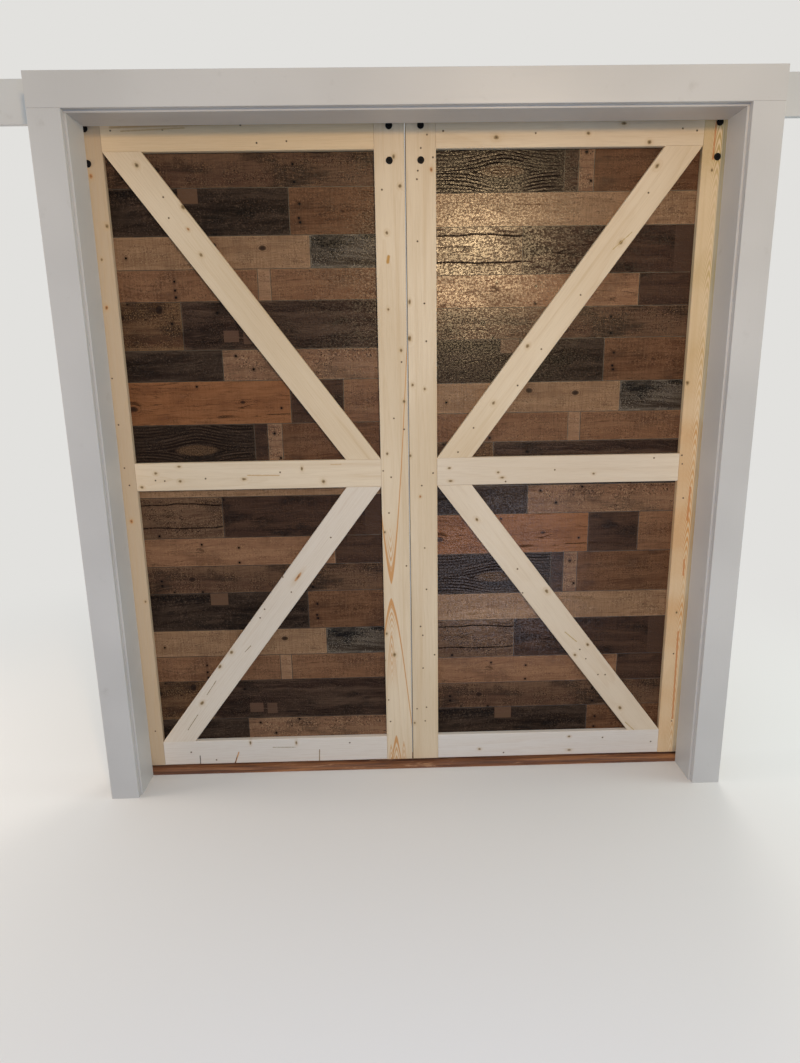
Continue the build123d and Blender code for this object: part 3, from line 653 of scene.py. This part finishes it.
# The groove between planks, how far planks stand out of it, and how much their edges are eased
GROOVE = 0.0012
PLANK_THICKNESS = 0.0010
PLANK_EASE = 0.0005
GROOVE_DARK = srgb(24, 18, 15)
GROOVE_DUST = srgb(40, 30, 24)
PLANK_SIDE = srgb(24, 18, 14)
THIN_CRACK = srgb(22, 16, 13)
LONG_CRACK = srgb(20, 14, 11)
PRINT_KNOT = srgb(34, 23, 17)
NAIL_HEAD = srgb(12, 9, 8)
LENS_RIDGE = srgb(16, 11, 9)
LENS_DARK = srgb(56, 40, 28)
LENS_LIGHT = srgb(98, 74, 52)
# What each kind of plank looks like: main colour, dark and light of its figure, and how much it
# has of soft dark clouds, pale fibres, saw marks, dark cracks and grit.
PLANKS = {
    "charcoal": (srgb(34, 23, 16), srgb(10, 7, 6), srgb(86, 68, 54), 0.7, 0.4, 0.1, 0.5, 0.65),
    "umber": (srgb(46, 31, 24), srgb(16, 11, 9), srgb(99, 77, 60), 0.7, 0.5, 0.1, 0.4, 0.5),
    "ink": (srgb(50, 39, 30), srgb(10, 8, 8), srgb(136, 122, 104), 1.0, 0.4, 0.15, 0.2, 0.7),
    "red_brown": (srgb(87, 57, 37), srgb(41, 25, 17), srgb(126, 91, 64), 0.5, 0.1, 0.35, 0.3, 0.7),
    "tan": (srgb(127, 95, 68), srgb(78, 55, 38), srgb(160, 127, 95), 0.3, 0.0, 0.5, 0.25, 0.7),
    "red_tan": (srgb(123, 87, 62), srgb(69, 44, 29), srgb(157, 118, 85), 0.4, 0.0, 0.2, 0.6, 0.5),
    "cracked_tan": (srgb(85, 61, 45), srgb(35, 23, 17), srgb(126, 98, 72), 0.5, 0.0, 0.3, 0.5, 1.0),
    "dark_brown": (srgb(56, 38, 29), srgb(24, 17, 14), srgb(92, 67, 49), 0.8, 0.2, 0.2, 0.3, 0.5),
    "deep_brown": (srgb(77, 53, 39), srgb(32, 24, 18), srgb(120, 91, 66), 0.8, 0.1, 0.4, 0.4, 0.9),
    "brown": (srgb(109, 75, 52), srgb(56, 36, 26), srgb(141, 105, 75), 0.4, 0.1, 0.4, 0.3, 0.7),
    "nail_patch": (srgb(77, 51, 35), srgb(32, 21, 15), srgb(126, 97, 67), 0.7, 0.2, 0.2, 0.2, 0.9),
    "orange_tan": (srgb(121, 77, 47), srgb(68, 41, 26), srgb(146, 100, 65), 0.4, 0.0, 0.2, 0.8, 0.4),
    "blue_black": (srgb(41, 28, 21), srgb(17, 12, 10), srgb(90, 73, 58), 0.6, 0.4, 0.1, 0.3, 0.5),
    "speckled": (srgb(113, 80, 58), srgb(30, 20, 16), srgb(152, 119, 89), 0.5, 0.1, 0.3, 0.2, 1.0),
    "tab": (srgb(132, 98, 71), srgb(83, 58, 41), srgb(159, 124, 94), 0.3, 0.0, 0.2, 0.2, 0.6),
}
# Rows from the top: height, then where each plank ends and its kind. The last ends past the
# sheet's edge, where the sheet cuts it.
ROWS = (
    (139, (470, "charcoal"), (512, "dark_brown"), (558, "speckled"), (970, "red_brown")),
    (94, (970, "tan")),
    (136, (351, "cracked_tan"), (970, "dark_brown")),
    (96, (28, "dark_brown"), (712, "red_tan"), (970, "dark_brown")),
    (94, (970, "deep_brown")),
    (132, (614, "charcoal"), (970, "red_brown")),
    (94, (671, "tan"), (970, "ink")),
    (92, (509, "brown"), (548, "tab"), (970, "brown")),
    (143, (271, "nail_patch"), (970, "umber")),
    (94, (386, "blue_black"), (970, "speckled")),
    (134, (590, "orange_tan"), (757, "dark_brown"), (970, "brown")),
)
# The print repeats after all its rows.
PERIOD = sum(row[0] for row in ROWS) * MM
# Knots (across, down, half length, half height) and nail heads (across, down) in the print
PRINT_KNOTS = (
    (674, 353, 16, 14), (233, 510, 16, 13), (382, 717, 14, 10), (528, 726, 14, 10),
    (60, 1010, 18, 16), (205, 900, 14, 18), (90, 920, 12, 12), (96, 1195, 24, 15),
    (440, 1180, 14, 9),
)
PRINT_NAILS = (
    (534, 31), (550, 110), (356, 242), (395, 404), (394, 455), (274, 391), (139, 360),
    (132, 514), (132, 530), (171, 554), (265, 555), (630, 497), (633, 545), (645, 605),
    (645, 656), (642, 644), (258, 818), (258, 844), (259, 864), (380, 910), (564, 1028),
    (428, 1039), (120, 750), (240, 940), (110, 880), (480, 1080), (300, 1130), (560, 1200),
)
# Small fields of another tone (across, down, half length, half height, colour)
PATCHES = (
    (318, 580, 29, 21, srgb(104, 76, 56)),
    (418, 980, 23, 17, srgb(96, 70, 54)),
    (472, 984, 17, 20, srgb(92, 68, 52)),
    (842, 300, 29, 66, srgb(72, 52, 40)),
)
# Long wavy cracks of the cracked plank, in metres down from the top of the rows
CRACKED_KIND = "cracked_tan"
CRACK_LINES = (0.257, 0.334)
# The lens in the figure of one plank (across, down, half length, half height), in metres
LENS_KIND = "charcoal"
LENS_ROW = 0
LENS = (0.285, 0.081, 0.080, 0.022)


def lens(s, across, down, in_row):
    """The lens in the figure of one plank. in_row is 1 in the row that has it.

    Gives how far along it a point is from its middle, in half lengths, how far outside its rim,
    and how far the figure there is pushed away from its middle line.
    """
    middle, middle_down, half_length, half_height = LENS
    run = s.calc("DIVIDE", s.calc("SUBTRACT", across, middle), half_length)
    fall = s.calc("EXPONENT", s.calc("MULTIPLY", s.calc("MULTIPLY", run, run), -1.0))
    rim = s.calc("MULTIPLY", fall, half_height)
    off = s.calc("SUBTRACT", down, middle_down)
    past_rim = s.calc("SUBTRACT", s.calc("ABSOLUTE", off), rim)
    fade = s.calc("EXPONENT", s.calc("MULTIPLY", s.calc("ABSOLUTE", past_rim), -22.0))
    push = s.calc("MULTIPLY", fade, s.calc("MULTIPLY", rim, in_row))
    return s.calc("ABSOLUTE", run), past_rim, s.calc("MULTIPLY", push, s.calc("SIGN", off))


def long_cracks(s, across, down, dirt):
    """The long wavy cracks of the cracked plank, one after another."""
    for number, crack_down in enumerate(CRACK_LINES):
        sway = s.noise(s.point(across, 1.7 * number, 0.0), 7.0, 2.0)
        sway = s.calc("MULTIPLY_ADD", sway, 0.03, -0.015)
        off = s.calc("ABSOLUTE", s.calc("ADD", s.calc("SUBTRACT", down, crack_down), sway))
        broken = s.ease(dirt, 0.55, 0.68, 1.0, 0.1)
        yield s.calc("MULTIPLY", s.ease(off, 0.0012, 0.0034, 0.95, 0.0), broken)


def with_marks(s, tint, spot, rough, flecks_and_glints, dark, light):
    """A plank's colour with the knots, small fields of another tone and nail heads on it."""
    rings = []
    for x, down, half_length, half_height in PRINT_KNOTS:
        half_sizes = (half_length * MM, half_height * MM)
        rings.append(s.vector("LENGTH", own_units(s, spot, (x * MM, down * MM), half_sizes)))
    knot = s.calc("ADD", nearest(s, rings), rough)
    swirl = s.calc("SINE", s.calc("MULTIPLY", knot, 13.0))
    swirl = s.calc("MULTIPLY", s.ease(swirl, 0.0, 0.9), s.ease(knot, 0.8, 2.2, 0.5, 0.0))
    tint = s.mix(swirl, tint, dark)
    tint = s.mix(s.ease(knot, 0.35, 0.95, 0.9, 0.0), tint, PRINT_KNOT)
    for x, down, half_length, half_height, color in PATCHES:
        half_sizes = (half_length * MM, half_height * MM)
        offset = s.vector("ABSOLUTE", own_units(s, spot, (x * MM, down * MM), half_sizes))
        off_x, off_down = s.parts(offset)[:2]
        inside = s.ease(s.calc("MAXIMUM", off_x, off_down), 0.96, 1.04, 0.75, 0.0)
        tint = s.mix(inside, tint, s.mix(flecks_and_glints, color, light))
    nails = [s.vector("DISTANCE", spot, (x * MM, down * MM, 0.0)) for x, down in PRINT_NAILS]
    nail = s.calc("ADD", nearest(s, nails), s.calc("MULTIPLY", rough, 0.002))
    tint = s.mix(s.ease(nail, 0.003, 0.011, 0.5, 0.0), tint, dark)
    return s.mix(s.ease(nail, 0.0026, 0.0042, 1.0, 0.0), tint, NAIL_HEAD)


def old_plank(kind, main, dark, light, clouds, fibres, saw, cracks, gritty):
    """Semi-gloss embossed print of an old plank, in the print's own places."""
    s = Shader("print_" + kind)
    across, down, row = s.parts(s.attribute("print_place"))
    down = s.calc("FLOORED_MODULO", down, PERIOD)
    layer = s.calc("MULTIPLY", row, 0.37)
    flat = s.point(across, down, layer)
    spot = s.point(across, down, 0.0)
    low_sides = s.parts(s.attribute("edge_low"))[:2]
    high_sides = s.parts(s.attribute("edge_high"))[:2]
    edge = nearest(s, [*low_sides, *high_sides])

    # The figure runs in waves, and round the lens on the plank that has it
    wave = s.stretched(flat, (4.0, 11.0, 1.0), 2.0)
    figure_down = down
    if kind == LENS_KIND:
        in_row = s.calc("LESS_THAN", row, LENS_ROW + 0.5)
        run, past_rim, push = lens(s, across, down, in_row)
        figure_down = s.calc("SUBTRACT", down, push)
    bent = s.point(across, s.calc("MULTIPLY_ADD", wave, 0.05, figure_down), layer)
    fine = s.stretched(bent, (14.0, 260.0, 9.0), 3.0, 0.65)
    bands = s.stretched(bent, (2.2, 38.0, 5.0), 3.0, 0.6)
    cloud = s.stretched(flat, (7.0, 15.0, 11.0), 4.0, 0.6)
    patch = s.stretched(flat, (13.0, 24.0, 17.0), 3.0, 0.6)
    grit = s.noise(flat, 250.0, 3.0, 0.7)
    dirt = s.noise(s.vector("ADD", flat, (3.1, 1.7, 0.0)), 190.0, 3.0, 0.7)

    tint = s.mix(s.ease(bands, 0.35, 0.7), main, s.mix(0.4, main, light))
    tint = s.mix(s.calc("MULTIPLY", s.ease(cloud, 0.46, 0.66), clouds), tint, dark)
    tint = s.mix(s.ease(fine, 0.32, 0.46, 0.55, 0.0), tint, dark)
    tint = s.mix(s.ease(fine, 0.54, 0.72, 0.0, 0.4), tint, light)
    # Dark cracks and pale fibres along the figure
    field = s.stretched(bent, (1.6, 26.0, 7.0), 1.0, 0.4)
    line = s.calc("MULTIPLY", contours(s, field, 7.0, 0.02, 0.08), s.ease(patch, 0.44, 0.62))
    line = s.calc("MULTIPLY", line, s.ease(grit, 0.36, 0.5, 0.35, 1.0))
    tint = s.mix(s.calc("MULTIPLY", line, cracks), tint, THIN_CRACK)
    pale_field = s.stretched(bent, (2.4, 48.0, 13.0), 2.0, 0.5)
    pale = s.calc("MULTIPLY", contours(s, pale_field, 6.0, 0.01, 0.06), s.ease(grit, 0.42, 0.58))
    pale = s.calc("MULTIPLY", pale, s.ease(cloud, 0.40, 0.56, 0.0, fibres))
    tint = s.mix(s.calc("MULTIPLY", pale, 0.6), tint, light)
    # Saw marks across it, then pits, and pale flecks that are partly the print's own specks and
    # partly painted glints of the embossed gloss
    chatter = s.stretched(flat, (210.0, 14.0, 3.0), 2.0, 0.5, 0.4)
    hatch = s.calc("MULTIPLY", s.ease(chatter, 0.48, 0.66), s.ease(patch, 0.36, 0.54, 0.3, 1.0))
    tint = s.mix(s.calc("MULTIPLY", hatch, saw * 0.5), tint, light)
    hatch = s.ease(chatter, 0.36, 0.48, 1.0, 0.0)
    tint = s.mix(s.calc("MULTIPLY", hatch, saw * 0.35), tint, dark)
    pits = s.ease(dirt, 0.38, 0.46, gritty, 0.0)
    pits = s.calc("MULTIPLY", pits, s.ease(patch, 0.42, 0.58, 0.2, 1.0))
    tint = s.mix(pits, tint, dark)
    # Pale flecks: specks of the print, and painted glints where the embossed gloss would sparkle
    flecks_and_glints = s.ease(grit, 0.54, 0.62, 0.0, gritty)
    flecks_and_glints = s.calc("MULTIPLY", flecks_and_glints, s.ease(patch, 0.38, 0.56, 0.25, 1.0))
    tint = s.mix(flecks_and_glints, tint, light)
    if kind == CRACKED_KIND:
        for crack in long_cracks(s, across, down, dirt):
            tint = s.mix(crack, tint, LONG_CRACK)
            line = s.calc("MAXIMUM", line, crack)
    if kind == LENS_KIND:
        # The lens itself is plain, with dark ridges round it and pale crests beside them, which are
        # painted highlight on the embossed ridges
        in_lens = s.calc("MULTIPLY", s.ease(past_rim, -0.008, -0.002, 0.85, 0.0), in_row)
        in_lens = s.calc("MULTIPLY", in_lens, s.ease(run, 0.6, 0.95, 1.0, 0.0))
        swell = s.calc("ADD", past_rim, s.calc("MULTIPLY", s.calc("ADD", wave, bands), 0.012))
        reach = s.calc("MULTIPLY", in_row, s.ease(run, 1.6, 3.4, 1.0, 0.35))
        reach = s.calc("MULTIPLY", reach, s.ease(cloud, 0.44, 0.60, 1.0, 0.15))
        ridge = s.calc("MULTIPLY", contours(s, swell, 100.0, 0.08, 0.24), reach)
        crest_glint = contours(s, s.calc("ADD", swell, 0.004), 100.0, 0.03, 0.16)
        crest_glint = s.calc("MULTIPLY", crest_glint, reach)
        crest_glint = s.calc("MULTIPLY", crest_glint, s.ease(grit, 0.44, 0.58, 0.05, 0.5))
        tint = s.mix(crest_glint, tint, light)
        tint = s.mix(s.calc("MULTIPLY", ridge, 0.7), tint, LENS_RIDGE)
        tint = s.mix(in_lens, tint, s.mix(s.ease(grit, 0.4, 0.6), LENS_DARK, LENS_LIGHT))
        line = s.calc("MAXIMUM", line, ridge)

    rough = s.calc("MULTIPLY_ADD", patch, 0.9, -0.45)
    tint = with_marks(s, tint, spot, rough, flecks_and_glints, dark, light)
    # Paler near the plank edges in patches: worn print, and painted highlight on the eased edges
    bevel_glint_and_wear = s.calc("MULTIPLY", s.ease(edge, 0.0018, 0.0044, 0.42, 0.0), s.ease(patch, 0.42, 0.56))
    tint = s.mix(bevel_glint_and_wear, tint, light)
    tint = s.mix(s.ease(edge, 0.0004, 0.0016, 0.5, 0.0), tint, PLANK_SIDE)

    # Cracks and ridges are low and dull, and raised specks gleam
    height = s.calc("MULTIPLY_ADD", fine, 0.5, grit)
    height = s.calc("SUBTRACT", height, s.calc("MULTIPLY", line, 0.9))
    specks = s.ease(s.stretched(flat, (175.0, 215.0, 60.0), 2.0, 0.6), 0.45, 0.57, 0.14, 1.0)
    raised = s.calc("MULTIPLY", specks, s.calc("SUBTRACT", 1.0, line))
    gloss = s.ease(cloud, 0.35, 0.7, 0.20, 0.29)
    normal = s.bump(height, 0.0004, 0.5)
    return s.finish(tint, gloss, normal, Specular_IOR_Level=0.08, Specular_Tint=raised)


def groove_paint():
    """The dark bottom of the grooves, with some dust."""
    s = Shader("print_groove")
    dust = s.noise(s.place(), 90.0, 3.0)
    return s.finish(s.mix(s.ease(dust, 0.4, 0.7), GROOVE_DARK, GROOVE_DUST), 0.6)


plank_kinds = list(PLANKS)
sheet_materials = [groove_paint()]
for kind in plank_kinds:
    sheet_materials.append(old_plank(kind, *PLANKS[kind]))


def add_block(mesh, outline, y_pair, material, face_y=None, ease=0.0):
    """A closed box over an outline of low x, low z, high x and high z, between two depths.

    Its corners at the face on face_y are drawn in by ease. Gives its vertices.
    """
    x0, z0, x1, z1 = outline
    corners = []
    for y in sorted(y_pair):
        inset = ease if y == face_y else 0.0
        ring = (
            (x0 + inset, z0 + inset), (x1 - inset, z0 + inset),
            (x1 - inset, z1 - inset), (x0 + inset, z1 - inset),
        )
        corners += [mesh.verts.new((x, y, z)) for x, z in ring]
    faces = ((0, 1, 2, 3), (7, 6, 5, 4), (0, 4, 5, 1), (1, 5, 6, 2), (2, 6, 7, 3), (3, 7, 4, 0))
    for face in faces:
        mesh.faces.new([corners[i] for i in face]).material_index = material
    return corners


def printed_sheet(node, body, first_row_top, faces_front):
    """The sheet with its printed planks, standing for the plain one of the model.

    first_row_top is the height at which the first row of the print starts.
    """
    low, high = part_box(node)
    face_y, back_y = (low[1], high[1]) if faces_front else (high[1], low[1])
    inward = 1 if faces_front else -1
    plank_back = face_y + inward * PLANK_THICKNESS
    eased_y = face_y + inward * PLANK_EASE
    mesh = bmesh.new()
    place = mesh.verts.layers.float_vector.new("print_place")
    edge_low = mesh.verts.layers.float_vector.new("edge_low")
    edge_high = mesh.verts.layers.float_vector.new("edge_high")
    add_block(mesh, (low[0], low[2], high[0], high[2]), (plank_back, back_y), 0)
    top = first_row_top
    while top < high[2]:
        top += PERIOD
    number = 0
    while top > low[2]:
        row = number % len(ROWS)
        height, *planks = ROWS[row]
        start = 0.0
        for end, kind in planks:
            x0 = low[0] + start + GROOVE / 2
            x1 = min(low[0] + end * MM - GROOVE / 2, high[0])
            z0 = max(top - height * MM + GROOVE / 2, low[2])
            z1 = min(top - GROOVE / 2, high[2])
            start = end * MM
            if x1 <= x0 or z1 - z0 < 2 * GROOVE:
                continue
            outline = (x0, z0, x1, z1)
            material = 1 + plank_kinds.index(kind)
            verts = add_block(mesh, outline, (plank_back, eased_y), material)
            verts += add_block(mesh, outline, (eased_y, face_y), material, face_y, PLANK_EASE)
            for vert in verts:
                vert[place] = (vert.co.x - low[0], first_row_top - vert.co.z, float(row))
                vert[edge_low] = (vert.co.x - x0, vert.co.z - z0, 0.0)
                vert[edge_high] = (x1 - vert.co.x, z1 - vert.co.z, 0.0)
        top -= height * MM
        number += 1
    bmesh.ops.recalc_face_normals(mesh, faces=mesh.faces)
    sheet = fresh_object(node + "_print", mesh)
    for material in sheet_materials:
        sheet.data.materials.append(material)
    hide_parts(node)
    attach(sheet, body)
    return sheet


# Each sheet shows another part of the print, and its first row starts at another height.
sheets = [
    printed_sheet("left_front_sheet", "left_door", 1.203, True),
    printed_sheet("right_front_sheet", "right_door", 0.761, True),
    printed_sheet("left_rear_sheet", "left_door", 0.980, False),
    printed_sheet("right_rear_sheet", "right_door", 1.410, False),
]


# Camera, fitted to measured corners of the photograph. The focal length and the photograph's
# height are in pixels, the sensor's height in millimetres, and the turns in degrees: to the side,
# up from straight down, and about the line of sight.

FOCAL_LENGTH = 713.6
PHOTO_HEIGHT = 1063
SENSOR_HEIGHT = 36.0
CAMERA_PLACE = (-0.0841, -2.2143, 1.3950)
CAMERA_TURNS = ((-1.08, "Z"), (90 - 13.58, "X"), (-0.94, "Z"))

camera = bpy.data.objects.new("camera", bpy.data.cameras.new("camera"))
bpy.context.scene.collection.objects.link(camera)
camera.data.sensor_fit = "VERTICAL"
camera.data.sensor_height = SENSOR_HEIGHT
camera.data.lens = FOCAL_LENGTH / PHOTO_HEIGHT * SENSOR_HEIGHT
aside, tilt, roll = [Matrix.Rotation(math.radians(angle), 4, axis) for angle, axis in CAMERA_TURNS]
camera.matrix_world = Matrix.Translation(CAMERA_PLACE) @ (aside @ tilt @ roll)
bpy.context.scene.camera = camera


# World and floor. Each has one colour that lights the object and another that is seen.

PALE_GREY = srgb(226, 225, 222)
WORLD_LIGHT = (0.80, 0.91, 1.0, 1.0)
WORLD_STRENGTH = 0.72
FLOOR_LIGHT = srgb(140, 142, 146)
FLOOR_SEEN = srgb(218, 212, 205)
FLOOR_HALF_SIZE = 12.0
MIRROR_RAYS = ("Is Glossy Ray", "Is Transmission Ray")


def backdrop(tree, light_color, light_strength, shown_color):
    """Feeds a world's output: one colour lights the object, and another shows to the camera."""
    path = tree.nodes.new("ShaderNodeLightPath")
    shown = path.outputs["Is Camera Ray"]
    for kind in MIRROR_RAYS:
        either = tree.nodes.new("ShaderNodeMath")
        either.operation = "MAXIMUM"
        tree.links.new(shown, either.inputs[0])
        tree.links.new(path.outputs[kind], either.inputs[1])
        shown = either.outputs[0]
    both = tree.nodes.new("ShaderNodeMixShader")
    lit = tree.nodes["Background"]
    lit.inputs["Color"].default_value = light_color
    lit.inputs["Strength"].default_value = light_strength
    seen = tree.nodes.new("ShaderNodeBackground")
    seen.inputs["Color"].default_value = shown_color
    tree.links.new(shown, both.inputs[0])
    tree.links.new(lit.outputs[0], both.inputs[1])
    tree.links.new(seen.outputs[0], both.inputs[2])
    tree.links.new(both.outputs[0], tree.nodes["World Output"].inputs["Surface"])


def floor_paint():
    """Takes on the world's own colour far from the object, so that no horizon shows."""
    s = Shader("floor")
    path = s.add("ShaderNodeLightPath")
    shown = path.outputs["Is Camera Ray"]
    for kind in MIRROR_RAYS:
        shown = s.calc("MAXIMUM", shown, path.outputs[kind])
    s.finish(s.mix(shown, FLOOR_LIGHT, FLOOR_SEEN), 0.8, Specular_IOR_Level=0.1)
    far_off = s.ease(s.vector("LENGTH", s.place()), 1.2, 3.2)
    far_look = s.add("ShaderNodeEmission", [PALE_GREY, 1.0])
    both = s.add("ShaderNodeMixShader", [
        s.calc("MULTIPLY", far_off, shown), s.surface.outputs[0], far_look.outputs[0]])
    s.feed(s.tree.nodes["Material Output"].inputs["Surface"], both.outputs[0])
    return s.material


bpy.context.scene.view_settings.view_transform = "Standard"
world = bpy.data.worlds.new("studio")
bpy.context.scene.world = world
world.use_nodes = True
backdrop(world.node_tree, WORLD_LIGHT, WORLD_STRENGTH, PALE_GREY)

floor_mesh = bmesh.new()
bmesh.ops.create_grid(floor_mesh, x_segments=1, y_segments=1, size=FLOOR_HALF_SIZE)
floor = fresh_object("floor", floor_mesh)
floor.data.materials.append(floor_paint())


# Lamps

def area_lamp(name, place, target, size, power, color, mirrored=True, height=0.0):
    """A lamp aimed at a target: a disk, or an upright rectangle where a height is given."""
    lamp = bpy.data.lights.new(name, "AREA")
    lamp.shape = "RECTANGLE" if height else "DISK"
    lamp.size = size
    lamp.size_y = height or size
    lamp.energy = power
    lamp.color = color
    holder = bpy.data.objects.new(name, lamp)
    bpy.context.scene.collection.objects.link(holder)
    holder.location = place
    holder.visible_glossy = mirrored
    aim = Vector(target) - Vector(place)
    holder.rotation_mode = "QUATERNION"
    holder.rotation_quaternion = aim.to_track_quat("-Z", "Y")
    return holder


KEY_COLOR = (1.0, 0.71, 0.38)
LEFT_COLOR = (1.0, 0.91, 0.83)
RIGHT_COLOR = (0.80, 0.96, 1.0)
LOW_COLOR = (0.24, 0.48, 1.0)
GLEAM_COLOR = (1.0, 0.72, 0.40)
SHEEN_COLOR = (0.74, 0.80, 1.0)
REAR_COLOR = (1.0, 0.98, 0.95)
area_lamp("key", (0.75, -3.54, 2.44), (0.0, 0.05, 1.7), 0.4, 50.0, KEY_COLOR)
area_lamp("left", (-3.6, -0.3, 1.0), (0.6, 0.05, 0.9), 1.6, 68.0, LEFT_COLOR, False)
area_lamp("right", (3.6, -0.5, 1.0), (-0.6, 0.05, 0.9), 1.6, 52.0, RIGHT_COLOR, False)
area_lamp("low", (0.0, -2.6, 1.0), (0.0, 0.05, 0.3), 1.2, 17.0, LOW_COLOR, False)
# Two lamps that light nothing and only gleam on the printed sheets
glossy_pieces = bpy.data.collections.new("glossy_pieces")
for sheet in sheets:
    glossy_pieces.objects.link(sheet)
for gleam in (
    area_lamp("gleam", (0.58, -3.5, 2.12), (0.2, 0.07, 1.7), 0.4, 290.0, GLEAM_COLOR, height=0.6),
    area_lamp("sheen", (0.45, -1.0, 0.4), (0.25, 0.07, 0.7), 0.7, 18.0, SHEEN_COLOR, height=0.7),
):
    gleam.visible_diffuse = False
    gleam.light_linking.receiver_collection = glossy_pieces
area_lamp("rear", (1.6, 3.4, 2.6), (0.0, 0.05, 1.2), 2.0, 60.0, REAR_COLOR, False)
